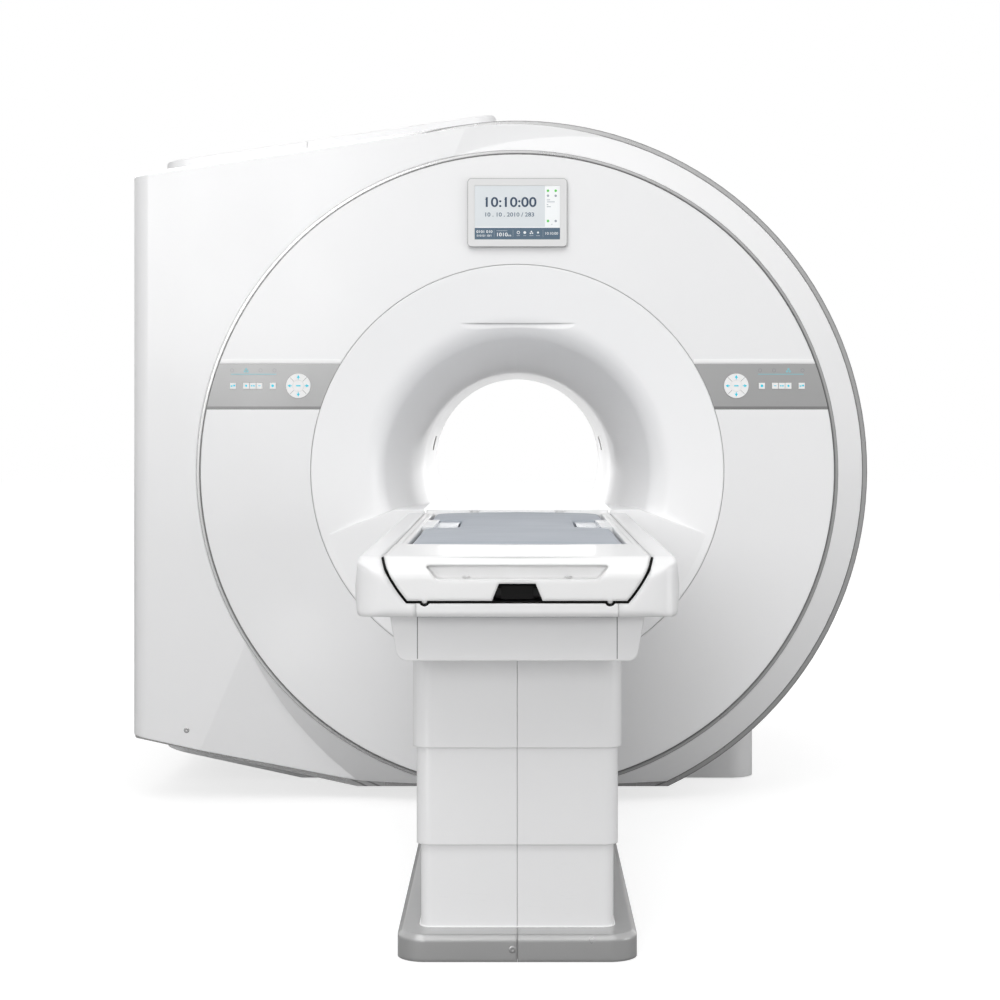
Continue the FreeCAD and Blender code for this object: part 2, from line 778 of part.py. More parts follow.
def crescentScoop():
    """Upright round bar that takes a shallow hollow out of the bend above the bore.

    The hollow is deepest at its straight upper edge and runs out slot_fade below it."""
    climb = "(dims.seam_radius - dims.seat_gap - dims.dish_radius)"
    slant = f"sqrt(dims.dish_depth^2 + {climb}^2)"
    bend_y = f"({FACE} + dims.dish_depth + dims.lip_bend * {climb} / {slant})"
    bend_r = f"(dims.dish_radius + dims.lip_bend * dims.dish_depth / {slant})"
    foot = f"({bend_y} - sqrt(dims.lip_bend^2 - ({bend_r} - dims.slot_height + dims.slot_fade)^2))"
    reach = f"({foot} - {bend_y} + dims.lip_bend)"
    radius = f"((dims.slot_half^2 + {reach}^2) / (2 * {reach}))"
    top = "dims.axis_height + dims.slot_height"
    return rodZ("crescent_scoop", radius, f"{top} - 3 * dims.slot_fade", top, "0", f"{foot} - {radius}")


def makeFlares():
    front = (FACE, "-dims.throat_reach", "dims.dish_depth", "dims.dish_radius", "dims.lip_bend", 1)
    shell = flareForm("front_flare_shell", *front, True)
    air = flareForm("front_flare_air", *front, False)
    # the table's berth: a shelf across the lower half of the mouth, with its ends sloping away
    edge = "(dims.seam_radius - dims.seat_gap)"
    end = f"(dims.shelf_end_half + {edge} - sqrt(dims.shelf_end_half^2 + dims.shelf_end_drop^2) - 4)"
    fall = f"-sqrt({edge}^2 - {end}^2)"
    corners = [(f"-{end}", fall), ("0", f"-{edge}", "", "u"), (end, fall, "", "u"),
               ("dims.shelf_half", "-dims.shelf_drop"), ("-dims.shelf_half", "-dims.shelf_drop")]
    slab = plateY("berth_slab", corners, f"{FACE} + dims.apron_setback", "-dims.throat_reach",
                  {0: ("0", "0"), 1: ("0", "0")}, "dims.axis_height")
    whole = fuse("front_flare_whole", shell, common("berth", slab, air))
    bore = rodY("flare_bore", "dims.bore_radius", f"{FACE} - dims.cut_margin", "-dims.throat_reach")
    keep("front_flare_cover", cut("front_flare_cover", whole, bore, crescentScoop()))
    keep("rear_flare_cover", flareForm("rear_flare_cover", "dims.rear_reach", "dims.rear_throat_reach",
                                       "dims.rear_dish_depth", "dims.rear_dish_radius",
                                       "dims.rear_lip_bend", -1, True))


# ---- bore -----------------------------------------------------------------------

def makeBore():
    front, back = "-dims.throat_reach + dims.seat_gap", "dims.rear_throat_reach - dims.seat_gap"
    outer = "dims.bore_radius + dims.liner_wall"
    tube = ring("liner_tube", front, back, "dims.bore_radius", outer)
    windows = []
    for hand, side in (("left", -1), ("right", 1)):
        edges = sorted([side * amount("dims.bore_radius * 0.9"), side * amount("dims.bore_radius * 1.1")])
        middle = "dims.axis_height + dims.window_height"
        windows.append(block(f"{hand}_window", (f"{edges[0]}", f"{back} - dims.window_setback - dims.window_long",
                                                f"{middle} - dims.window_tall / 2"),
                             (f"{edges[1]}", f"{back} - dims.window_setback",
                              f"{middle} + dims.window_tall / 2")))
    keep("bore_liner", cut("bore_liner", tube, *windows))
    keep("body_coil", ring("body_coil", f"{front} + dims.coil_inset", f"{back} - dims.coil_inset",
                           f"{outer} + dims.seat_gap", f"{outer} + dims.coil_wall"))
    keep("gradient_coil", ring("gradient_coil", "-dims.vessel_front + dims.coil_inset",
                               "dims.vessel_back - dims.coil_inset",
                               "dims.vessel_bore - dims.gradient_wall", "dims.vessel_bore - dims.seat_gap"))

    start, end = f"{FACE} + 2", "dims.rear_throat_reach - 4"
    deck = "dims.table_under - dims.slide_gap"
    round_bar = rodY("bridge_bar", "dims.bore_radius - dims.seat_gap", start, end)
    under = block("bridge_level", ("-dims.bore_radius", start, "dims.axis_height - dims.bore_radius"),
                  ("dims.bore_radius", end, deck))
    hollow = block("bridge_hollow", ("-dims.bridge_hollow_half", f"{start} - dims.cut_margin",
                                     "dims.axis_height - dims.bore_radius + dims.bridge_floor"),
                   ("dims.bridge_hollow_half", f"{end} + dims.cut_margin", f"{deck} - dims.bridge_roof"))
    keep("bore_bridge", cut("bore_bridge", common("bridge_segment", round_bar, under), hollow))


# ---- magnet ---------------------------------------------------------------------

def makeMagnet():
    barrel = ring("vessel_barrel", "-dims.vessel_front", "dims.vessel_back", "dims.vessel_bore",
                  "dims.vessel_radius", "dims.vessel_round")
    half = "dims.boss_long / 2"
    boss = block("vessel_boss", (f"-dims.turret_x - {half}", f"dims.turret_y - {half}", "dims.axis_height + dims.vessel_bore + dims.vessel_round"),
                 (f"-dims.turret_x + {half}", f"dims.turret_y + {half}", "dims.boss_top"))
    keep("magnet_vessel", fuse("magnet_vessel", barrel, boss))
    neck = rodZ("turret_neck", "dims.turret_radius", "dims.boss_top + dims.seat_gap", "dims.turret_top",
                "-dims.turret_x", "dims.turret_y")
    head = rodZ("turret_head", "dims.head_radius", "dims.turret_top", "dims.head_top", "-dims.turret_x",
                "dims.turret_y")
    keep("cold_head", fuse("cold_head", neck, head))

    round_clear = rodY("cradle_clear", "dims.vessel_radius + dims.seat_gap", "-dims.vessel_front - dims.cut_margin",
                       "dims.vessel_back + dims.cut_margin")
    pieces = []
    for i, side in enumerate((-1, 1)):
        y = f"{side} * dims.cradle_y"
        low, high = f"{y} - dims.cradle_thick / 2", f"{y} + dims.cradle_thick / 2"
        pieces.append(block(f"saddle_{i}", ("-dims.cradle_half", low, "0"),
                            ("dims.cradle_half", high, "dims.cradle_rise")))
        pieces.append(block(f"foot_plate_{i}", ("-dims.anchor_x - dims.foot_margin", low, "0"),
                            ("dims.anchor_x + dims.foot_margin", high, "dims.foot_plate")))
        x = f"{side} * dims.tie_x"
        pieces.append(block(f"tie_{i}", (f"{x} - dims.tie_width / 2", "-dims.cradle_y", "0"),
                            (f"{x} + dims.tie_width / 2", "dims.cradle_y", "dims.tie_height")))
    anchors = [rodZ(f"cradle_anchor_{i}", "dims.anchor_radius", "-dims.cut_margin",
                    "dims.foot_plate + dims.cut_margin", f"{a} * dims.anchor_x", f"{b} * dims.cradle_y")
               for i, (a, b) in enumerate(((-1, -1), (1, -1), (-1, 1), (1, 1)))]
    keep("magnet_cradle", cut("magnet_cradle", fuse("cradle_weldment", *pieces), round_clear, *anchors))


def makeFrame():
    start = f"{FACE} + dims.panel_depth + dims.seat_gap"
    plate = ring("frame_plate", start, f"{start} + dims.frame_depth", "dims.seam_radius + dims.seat_gap",
                 "dims.ring_radius - dims.seat_gap")
    # the trim ring reaches further back than the panels, so the frame steps back behind it
    step = ring("frame_step", f"{start} - dims.seat_gap", f"{FACE} + dims.ring_depth + dims.seat_gap",
                "dims.panel_radius - dims.seat_gap", "dims.ring_radius + dims.cut_margin")
    struts = []
    for i in range(DIMENSIONS["strut_count"]):
        angle = f"({i} + 0.5) * 360 / dims.strut_count"
        struts.append(rodY(f"strut_{i}", "dims.strut_radius", f"{start} + dims.frame_depth - 1",
                           "-dims.vessel_front", f"dims.strut_circle * cos({angle})",
                           f"dims.axis_height + dims.strut_circle * sin({angle})"))
    keep("cover_frame", fuse("cover_frame", cut("frame_ring", plate, step), *struts))


# ---- body covers ------------------------------------------------------------------

def bodyOutline(inset, corner, below):
    """Outline of the body behind the face, drawn in by a wall; below carries it down past the floor."""
    radius = f"(dims.body_radius - {inset})"
    left, foot = f"(dims.body_reach - {inset})", f"(dims.body_foot - {inset})"
    floor = "(dims.body_floor_gap - dims.axis_height)"
    flat = f"(dims.body_flat_reach - {inset} / sin(dims.body_slope))"
    corners = [
        (f"-{radius} * sin(dims.top_slope)", f"{radius} * cos(dims.top_slope)"),
        (f"-{left}", f"({radius} - {left} * sin(dims.top_slope)) / cos(dims.top_slope)", corner),
        (f"-{left}", f"{floor} + ({left} - {flat}) * tan(dims.body_slope)", corner),
        (f"-{flat}", floor),
        (foot, floor),
        (foot, f"-sqrt({radius}^2 - {foot}^2)", "", "u"),
    ]
    if below:
        corners[4:5] = [(f"-{flat}", f"{floor} - dims.cut_margin"), (foot, f"{floor} - dims.cut_margin")]
    return corners, {len(corners) - 1: ("0", "0")}


def bodyPlan(name, inset, front, back):
    """Plan of the body with its front corners rounded."""
    left, foot = f"(dims.body_reach - {inset})", f"(dims.body_foot - {inset})"
    corner = f"dims.body_plan_round - {inset}"
    wide = "(dims.body_radius + dims.cut_margin)"
    ankle = f"dims.axis_height - sqrt((dims.body_radius - {inset})^2 - {foot}^2)"
    high = plateZ(name + "_high", [(f"-{left}", front, corner), (wide, front), (wide, back), (f"-{left}", back)],
                  ankle, "dims.cap_height")
    low = plateZ(name + "_low", [(f"-{left}", front, corner), (foot, front, corner), (foot, back),
                                 (f"-{left}", back)], "-dims.cut_margin * 2", ankle)
    return fuse(name, high, low)


def makeBody():
    front, back = "-dims.body_start", "dims.rear_reach - dims.rear_plate - dims.seat_gap"
    corners, arcs = bodyOutline("0", "dims.body_corner", False)
    outer = common("body_outer", plateY("body_slab", corners, front, back, arcs, "dims.axis_height"),
                   bodyPlan("body_plan", "0", front, back))
    plate = plateY("rear_slab", corners, "dims.rear_reach - dims.rear_plate", "dims.rear_reach", arcs,
                   "dims.axis_height")
    wall = "dims.cover_wall"
    start, end = f"{front} + {wall}", f"{back} + dims.cut_margin"
    corners, arcs = bodyOutline(wall, f"dims.body_corner - {wall}", True)
    inner = common("body_inner", plateY("body_hollow", corners, start, end, arcs, "dims.axis_height"),
                   bodyPlan("hollow_plan", wall, start, end))
    mouth = rodY("body_mouth", "dims.body_mouth", f"{front} - dims.cut_margin", f"{start} + dims.cut_margin")
    half = "(dims.boss_long / 2 + 10)"
    hatch = block("body_hatch", (f"-dims.turret_x - {half}", f"dims.turret_y - {half}", "dims.boss_top"),
                  (f"-dims.turret_x + {half}", f"dims.turret_y + {half}", "dims.cap_height"))
    link = block("body_link_slot", ("-dims.link_half - dims.slide_gap", f"{front} - dims.cut_margin", "-dims.cut_margin"),
                 ("dims.link_half + dims.slide_gap", f"{start} + dims.cut_margin",
                  "dims.base_plate + dims.slide_gap"))
    shell = cut("body_shell", outer, inner, mouth, hatch, link)
    reach, top = "(dims.body_reach + dims.cut_margin)", "dims.cap_height"
    low_y, high_y = f"{front} - dims.cut_margin", f"{back} + dims.cut_margin"
    keep("left_body_cover", common("left_body_cover", shell,
                                   block("left_half", (f"-{reach}", low_y, "0"),
                                         ("-dims.body_split / 2", high_y, top))))
    keep("right_body_cover", common("right_body_cover", shell,
                                    block("right_half", ("dims.body_split / 2", low_y, "0"),
                                          (reach, high_y, top))))
    opening = rodY("rear_opening", "dims.seam_radius + dims.seat_gap", "0", "dims.rear_reach + dims.cut_margin")
    keep("rear_cover", cut("rear_cover", plate, opening))


def makeCaps():
    """Two covers over the service neck, with a seam between them."""

    def under(gap, reach):
        lift = f"(dims.body_radius + {gap}) / cos(dims.top_slope)"
        return f"dims.axis_height + {lift} - {reach} * tan(dims.top_slope)"

    def capForm(name, inset):
        gap = f"(dims.seat_gap + {inset})"
        right, left = f"(dims.cap_right + {inset})", f"(dims.cap_left - {inset})"
        top = f"dims.cap_height - {inset}"
        corner = f"dims.cap_plan_round - {inset}"
        front, back = f"-dims.cap_front + {inset}", f"dims.cap_back - {inset}"
        edge = "dims.cap_round" if inset == "0" else ""
        form = plateY(name + "_slab", [
            (f"-{right}", under(gap, right)),
            (f"-{right}", f"{top} + (dims.cap_crest - {right}) * tan(dims.cap_slope)", edge),
            (f"-{left}", f"{top} - ({left} - dims.cap_crest) * tan(dims.cap_slope)", edge),
            (f"-{left}", under(gap, left)),
        ], front, back)
        plan = plateZ(name + "_plan", [(f"-{left}", front, corner), (f"-{right}", front, corner),
                                       (f"-{right}", back, corner), (f"-{left}", back, corner)],
                      "dims.axis_height", "dims.cap_height + dims.cut_margin")
        return common(name, form, plan)

    shell = cut("cap_shell", capForm("cap_outer", "0"), capForm("cap_inner", "dims.cap_wall"))
    half = "(dims.boss_long / 2 + 10)"
    hatch = block("cap_hatch", (f"-dims.turret_x - {half}", f"dims.turret_y - {half}", "dims.boss_top"),
                  (f"-dims.turret_x + {half}", f"dims.turret_y + {half}", "dims.head_top"))
    shell = cut("cap_shell_open", shell, hatch)
    far = "(dims.cap_left + dims.cut_margin)"
    low_y, high_y = "-dims.cap_front - dims.cut_margin", "dims.cap_back + dims.cut_margin"
    top = "dims.cap_height + dims.cut_margin"
    keep("top_cover_left", common("top_cover_left", shell,
                                  block("cap_left_side", (f"-{far}", low_y, "dims.axis_height"),
                                        ("-dims.cap_seam - dims.seat_gap", high_y, top))))
    keep("top_cover_right", common("top_cover_right", shell,
                                   block("cap_right_side", ("-dims.cap_seam + dims.seat_gap", low_y,
                                                            "dims.axis_height"), ("0", high_y, top))))


# ---- tabletop ---------------------------------------------------------------------

NOSE_CENTRE = ("((dims.nose_half_top^2 + dims.table_top^2 - dims.nose_half_low^2 - dims.nose_under^2)"
               " / (2 * (dims.table_top - dims.nose_under)))")
NOSE_RADIUS = f"sqrt(dims.nose_half_top^2 + (dims.table_top - {NOSE_CENTRE})^2)"


def noseHalf(grow, height):
    """Half width of the nose's section, grown by a gap, at a height."""
    return f"sqrt(({NOSE_RADIUS} + {grow})^2 - ({height} - {NOSE_CENTRE})^2)"


def sideProfile(name):
    """Side view of the table's upper body, with the front edge sloped and rounded."""
    front = "-dims.nose_front"
    return plateX(name, [
        (front, "dims.side_low", "12"),
        ("-dims.side_end", "dims.side_low"),
        ("-dims.side_end", "dims.table_top"),
        (f"{front} + dims.nose_slope_long", "dims.table_top", "90"),
        (front, "dims.table_top - dims.nose_slope_drop", "28"),
    ], "-dims.side_half - dims.cut_margin", "dims.side_half + dims.cut_margin")


def pinX(name, radius, half, y, z):
    """A round bar along X, centred on the bore's middle plane."""
    item = doc.addObject("Part::Cylinder", name)
    item.Placement = FreeCAD.Placement(FreeCAD.Vector(), FreeCAD.Rotation(FreeCAD.Vector(0, 1, 0), 90))
    item.setExpression("Radius", radius)
    item.setExpression("Height", f"2 * ({half})")
    return place(item, (f"-({half})", y, z))


def makeTabletop():
    front, back = "-dims.nose_front", "-dims.nose_back - dims.seat_gap"
    centre = ("0", NOSE_CENTRE)
    low, top = "dims.nose_under", "dims.table_top"
    section = [("-dims.nose_half_low", low), ("dims.nose_half_low", low),
               (noseHalf("0", top), top, "", "v"), (f"-{noseHalf('0', top)}", top, "", "v")]
    slab = plateY("nose_slab", section, front, back, {1: centre, 3: centre})
    grip = plateY("grip_recess", [
        ("-dims.grip_half_low", "dims.grip_low", "dims.grip_round"),
        ("dims.grip_half_low", "dims.grip_low", "dims.grip_round"),
        ("dims.grip_half_top", "dims.grip_high", "dims.grip_top_round"),
        ("-dims.grip_half_top", "dims.grip_high", "dims.grip_top_round")],
        f"{front} - dims.cut_margin", f"{front} + dims.grip_depth")
    mouth = plateY("latch_mouth", [("-dims.latch_half_low", low), ("dims.latch_half_low", low),
                                   ("dims.latch_half_top", "dims.latch_top"),
                                   ("-dims.latch_half_top", "dims.latch_top")],
                   f"{front} - dims.cut_margin", f"{front} + dims.latch_depth")
    y = f"{front} + dims.latch_setback + dims.latch_thick / 2"
    bearing = pinX("latch_bearing", "dims.latch_pin_radius + dims.seat_gap",
                   "dims.latch_pin_half + dims.seat_gap", y, "dims.latch_pin_height")
    form = cut("nose_shell", common("nose_form", slab, sideProfile("nose_side")), grip, mouth, bearing)
    pins = [rodY(f"nose_pin_{i}", "dims.pin_radius", f"{front} + 1", f"{front} + dims.pin_long",
                 f"{side} * dims.pin_notch_half", low) for i, side in enumerate((-1, 1))]
    keep("tabletop_nose", fuse("tabletop_nose", form, *pins))

    pin = pinX("latch_pin", "dims.latch_pin_radius", "dims.latch_pin_half", y, "dims.latch_pin_height")
    paddle = block("latch_paddle", ("-dims.latch_half", f"{front} + dims.latch_setback", f"{low} + 2"),
                   ("dims.latch_half", f"{front} + dims.latch_setback + dims.latch_thick",
                    "dims.latch_pin_height"))
    keep("release_latch", fuse("release_latch", pin, paddle))

    start, end = "-dims.nose_back", "-dims.board_end"
    drop_top, drop_low = "(dims.table_top - dims.axis_height)", "(dims.table_under - dims.axis_height)"
    half_top = f"sqrt(dims.board_radius^2 - {drop_top}^2)"
    half_low = f"sqrt(dims.board_radius^2 - {drop_low}^2)"
    section = [(f"-{half_low}", drop_low), (half_low, drop_low), (half_top, drop_top, "", "v"),
               (f"-{half_top}", drop_top, "", "v")]
    slab = plateY("board_slab", section, start, end, {1: ("0", "0"), 3: ("0", "0")}, "dims.axis_height")
    strip = block("head_strip", ("-dims.head_strip_half", "-dims.pad_back + 2", "dims.table_under"),
                  ("dims.head_strip_half", end, "dims.table_top + dims.head_strip_rise"))
    slab = fuse("board_blank", slab, common("head_strip_form", strip,
                                            rodY("head_strip_round", "dims.board_radius", start, end)))
    floor = "dims.table_top - dims.pad_recess"
    gap = "dims.slide_gap"
    tools = [block("pad_bed", (f"-dims.pad_half - {gap}", f"-dims.pad_front - {gap}", floor),
                   (f"dims.pad_half + {gap}", f"-dims.pad_back + {gap}", "dims.table_top + dims.cut_margin"))]
    for hand, side in (("left", -1), ("right", 1)):
        x = f"{side} * dims.groove_half"
        tools.append(block(f"{hand}_groove", (f"{x} - dims.groove_wide / 2", "-dims.pad_front",
                                              "dims.table_top - dims.groove_deep"),
                           (f"{x} + dims.groove_wide / 2", "-dims.pad_back", "dims.table_top + dims.cut_margin")))
        x = f"{side} * dims.notch_half"
        tools.append(block(f"{hand}_notch", (f"{x} - dims.notch_wide / 2", f"{end} - dims.notch_long",
                                             "dims.table_top - dims.notch_deep"),
                           (f"{x} + dims.notch_wide / 2", f"{end} + dims.cut_margin",
                            "dims.table_top + dims.cut_margin")))
    keep("tabletop_board", cut("tabletop_board", slab, *tools))


def makePad():
    low = "dims.table_top - dims.pad_recess + dims.seat_gap"
    edge = f"{low} + dims.pad_edge_height"
    tuck = "(dims.pad_half - dims.pad_tuck)"
    rise = f"(({tuck}^2 - dims.pad_crown^2) / (2 * dims.pad_crown))"
    corners = [(f"-{tuck}", low), (tuck, low), ("dims.pad_half", f"{low} + dims.pad_edge_height / 2", "14"),
               (tuck, edge), (f"-{tuck}", edge, "", "v"), ("-dims.pad_half", f"{low} + dims.pad_edge_height / 2", "14")]
    slab = plateY("pad_slab", corners, "-dims.pad_front", "-dims.pad_back", {3: ("0", f"{edge} - {rise}")})
    tools = []
    for hand, side in (("left", -1), ("right", 1)):
        inner, outer = f"{side} * dims.pocket_inner", f"{side} * (dims.pad_half + dims.cut_margin)"
        tools.append(plateZ(f"{hand}_pad_pocket", [
            (inner, "-dims.pocket_front", "dims.pocket_round"), (outer, "-dims.pocket_front"),
            (outer, "-dims.pocket_back"), (inner, "-dims.pocket_back", "dims.pocket_round")],
            f"{low} - dims.cut_margin", f"{edge} + dims.cut_margin"))
        spread = ("-dims.pocket_front + dims.socket_gap", "-dims.pocket_back - dims.socket_gap")
        inner, outer = f"{side} * (dims.pocket_inner + dims.socket_gap)", f"{side} * dims.pad_half"
        tray = plateZ(f"{hand}_socket_tray", [
            (inner, spread[0], "dims.pocket_round - dims.socket_gap"), (outer, spread[0]),
            (outer, spread[1]), (inner, spread[1], "dims.pocket_round - dims.socket_gap")],
            low, f"{low} + dims.socket_tray")
        edges = sorted([side * amount("dims.pad_half - dims.socket_block"), side * amount("dims.pad_half")])
        body = block(f"{hand}_socket_body", (f"{edges[0]}", spread[0], low),
                     (f"{edges[1]}", spread[1], f"{low} + dims.socket_rise"))
        keep(f"coil_socket_{hand}", fuse(f"coil_socket_{hand}", tray, body))
    keep("table_pad", cut("table_pad", slab, *tools))


# ---- table body --------------------------------------------------------------------

def makeTableBody():
    front, back = "-dims.nose_front", "-dims.side_end"
    floor = "(dims.nose_under - dims.shadow_gap)"
    top, low = "dims.table_top", "dims.side_low"
    plan_wide = "dims.side_half"
    plan = [(f"-{plan_wide}", front, "dims.side_plan_round"), (plan_wide, front, "dims.side_plan_round"),
            (plan_wide, back), (f"-{plan_wide}", back)]
    for hand, side in (("left", -1), ("right", 1)):
        inner = "(dims.lip_half + dims.seat_gap)"
        corners = [
            (f"{side} * {inner}", low),
            (f"{side} * (dims.side_half - 6)", low, "11"),
            (f"{side} * dims.side_half", "dims.side_belly", "90"),
            (f"{side} * dims.side_half_top", top, "5"),
            (f"{side} * {noseHalf('dims.shadow_gap', top)}", top),
            (f"{side} * {noseHalf('dims.shadow_gap', floor)}", floor, "", "v"),
            (f"{side} * {inner}", floor),
        ]
        slab = plateY(f"{hand}_side_slab", corners, front, back, {4: ("0", NOSE_CENTRE)})
        shaped = common(f"{hand}_side_form", slab, sideProfile(f"{hand}_side_view"))
        keep(f"table_side_cover_{hand}", common(f"table_side_cover_{hand}", shaped,
                                                plateZ(f"{hand}_side_plan", plan, low, top)))
    lip = block("lip_slab", ("-dims.lip_half", front, low), ("dims.lip_half", f"{front} + dims.lip_depth", floor))
    notches = [rodY(f"pin_notch_{i}", "dims.pin_notch_radius", f"{front} - dims.cut_margin",
                    f"{front} + dims.lip_depth + dims.cut_margin", f"{side} * dims.pin_notch_half",
                    "dims.nose_under")
               for i, side in enumerate((-1, 1))]
    keep("table_front_panel", cut("table_front_panel", common("lip_form", lip, sideProfile("lip_side")), *notches))

    deck = "dims.table_under - dims.slide_gap"
    inner, outer = "(dims.rail_half - dims.rail_wide / 2)", "(dims.rail_half + dims.rail_wide / 2)"
    bed = f"{deck} - dims.rail_rise"
    half = "dims.lip_half"
    corners = [(f"-{half}", "dims.tray_top"), (half, "dims.tray_top"), (half, bed), (outer, bed), (outer, deck),
               (inner, deck), (inner, bed), (f"-{inner}", bed), (f"-{inner}", deck), (f"-{outer}", deck),
               (f"-{outer}", bed), (f"-{half}", bed)]
    keep("table_frame", plateY("table_frame", corners, f"{front} + dims.lip_depth + dims.slide_gap", back))

    top = "dims.tray_top - dims.seat_gap"
    tray = [("-dims.tray_half_low", "dims.tray_low", "dims.tray_round"),
            ("dims.tray_half_low", "dims.tray_low", "dims.tray_round"),
            ("dims.tray_half_top", top), ("-dims.tray_half_top", top)]
    hollow = [("-dims.tray_half_low + dims.tray_wall", "dims.tray_low + dims.tray_wall", "dims.tray_round"),
              ("dims.tray_half_low - dims.tray_wall", "dims.tray_low + dims.tray_wall", "dims.tray_round"),
              ("dims.tray_half_top - dims.tray_wall", "dims.tray_top"),
              ("-dims.tray_half_top + dims.tray_wall", "dims.tray_top")]
    shell = plateY("tray_slab", tray, "-dims.tray_front", "-dims.tray_back")
    inside = plateY("tray_hollow", hollow, "-dims.tray_front + dims.tray_wall", "-dims.tray_back - dims.tray_wall")
    half_x, half_y = "(dims.column_half_x - dims.column_wall)", "(dims.column_half_y - dims.column_wall)"
    port = block("tray_port", (f"-{half_x}", f"dims.column_y - {half_y}", "dims.tray_low - dims.cut_margin"),
                 (half_x, f"dims.column_y + {half_y}", "dims.tray_low + dims.tray_round + dims.cut_margin"))
    keep("underbox_cover", cut("underbox_cover", shell, inside, port))


# ---- telescoping column ----------------------------------------------------------------

def stageOutline(grow):
    half, corner = f"(dims.stage_half + {grow})", f"dims.stage_round + {grow}"
    front, back = f"-(dims.stage_front + {grow})", f"-(dims.stage_back - {grow})"
    return [(f"-{half}", front, corner), (half, front, corner), (half, back, corner), (f"-{half}", back, corner)]


def stagePair(name, inner, outer, low, high):
    """Left and right shell halves of one stage."""
    shell = cut(f"{name}_whole", plateZ(f"{name}_outer", stageOutline(outer), low, high),
                plateZ(f"{name}_inner", stageOutline(inner), f"{low} - dims.cut_margin",
                       f"{high} + dims.cut_margin"))
    far = "(dims.stage_half + dims.cut_margin * 2)"
    front, back = "-dims.stage_front - dims.cut_margin * 2", "-dims.stage_back + dims.cut_margin * 2"
    seam = "dims.seam_gap / 2"
    keep(f"{name}_left", common(f"{name}_left", shell, block(f"{name}_left_half", (f"-{far}", front, low),
                                                              (f"-{seam}", back, high))))
    keep(f"{name}_right", common(f"{name}_right", shell, block(f"{name}_right_half", (seam, front, low),
                                                                (far, back, high))))


def squareTube(name, outset, wall, low, high):
    """An upright rectangular tube of the lift column."""
    parts = []
    for i, shrink in enumerate((outset, f"({outset} + {wall})")):
        x, y = f"(dims.column_half_x - {shrink})", f"(dims.column_half_y - {shrink})"
        more = "0" if i == 0 else "dims.cut_margin"
        parts.append(block(f"{name}_{i}", (f"-{x}", f"dims.column_y - {y}", f"{low} - {more}"),
                           (x, f"dims.column_y + {y}", f"{high} + {more}")))
    return cut(name, *parts)


def makeColumn():
    middle = "(dims.slide_gap + dims.middle_wall)"
    upper = f"({middle} + dims.slide_gap + dims.upper_wall)"
    stagePair("lower_shell", "-dims.stage_wall", "0", "dims.base_plate + dims.seat_gap", "dims.lower_top")
    stagePair("middle_shell", "dims.slide_gap", middle, "dims.middle_low", "dims.middle_top")
    stagePair("upper_shell", f"({middle} + dims.slide_gap)", upper, "dims.upper_low",
              "dims.tray_low - dims.seat_gap")

    wall = "dims.column_wall"
    nest = f"({wall} + dims.seat_gap)"
    keep("lift_middle_tube", squareTube("lift_middle_tube", nest, f"({wall} - dims.seat_gap)", "dims.tube_low",
                                        "dims.tube_top"))
    keep("lift_ram", squareTube("lift_ram", f"(2 * {wall} + dims.seat_gap)", wall, "dims.ram_low",
                                "dims.tray_top - dims.seat_gap"))
    inset = "dims.plate_inset"
    plate = block("column_plate", ("-dims.plate_half", f"-dims.base_front + {inset}", "0"),
                  ("dims.plate_half", f"-dims.base_back - {inset}", "dims.base_plate"))
    tube = squareTube("column_tube", "0", wall, "dims.base_plate", "dims.column_top")
    anchors = [rodZ(f"table_anchor_{i}", "dims.table_anchor_radius", "-dims.cut_margin",
                    "dims.base_plate + dims.cut_margin", f"{a} * dims.table_anchor_x",
                    f"dims.column_y + {b} * dims.table_anchor_y")
               for i, (a, b) in enumerate(((-1, -1), (1, -1), (-1, 1), (1, 1)))]
    # a flat plate on the floor keeps the table in line with the magnet and carries its cables
    link = block("column_link", ("-dims.link_half", f"-dims.base_back - {inset}", "0"),
                 ("dims.link_half", "-dims.cradle_y - dims.cradle_thick / 2 - dims.seat_gap",
                  "dims.base_plate"))
    keep("lift_column", fuse("lift_column", cut("column_base", plate, *anchors), tube, link))


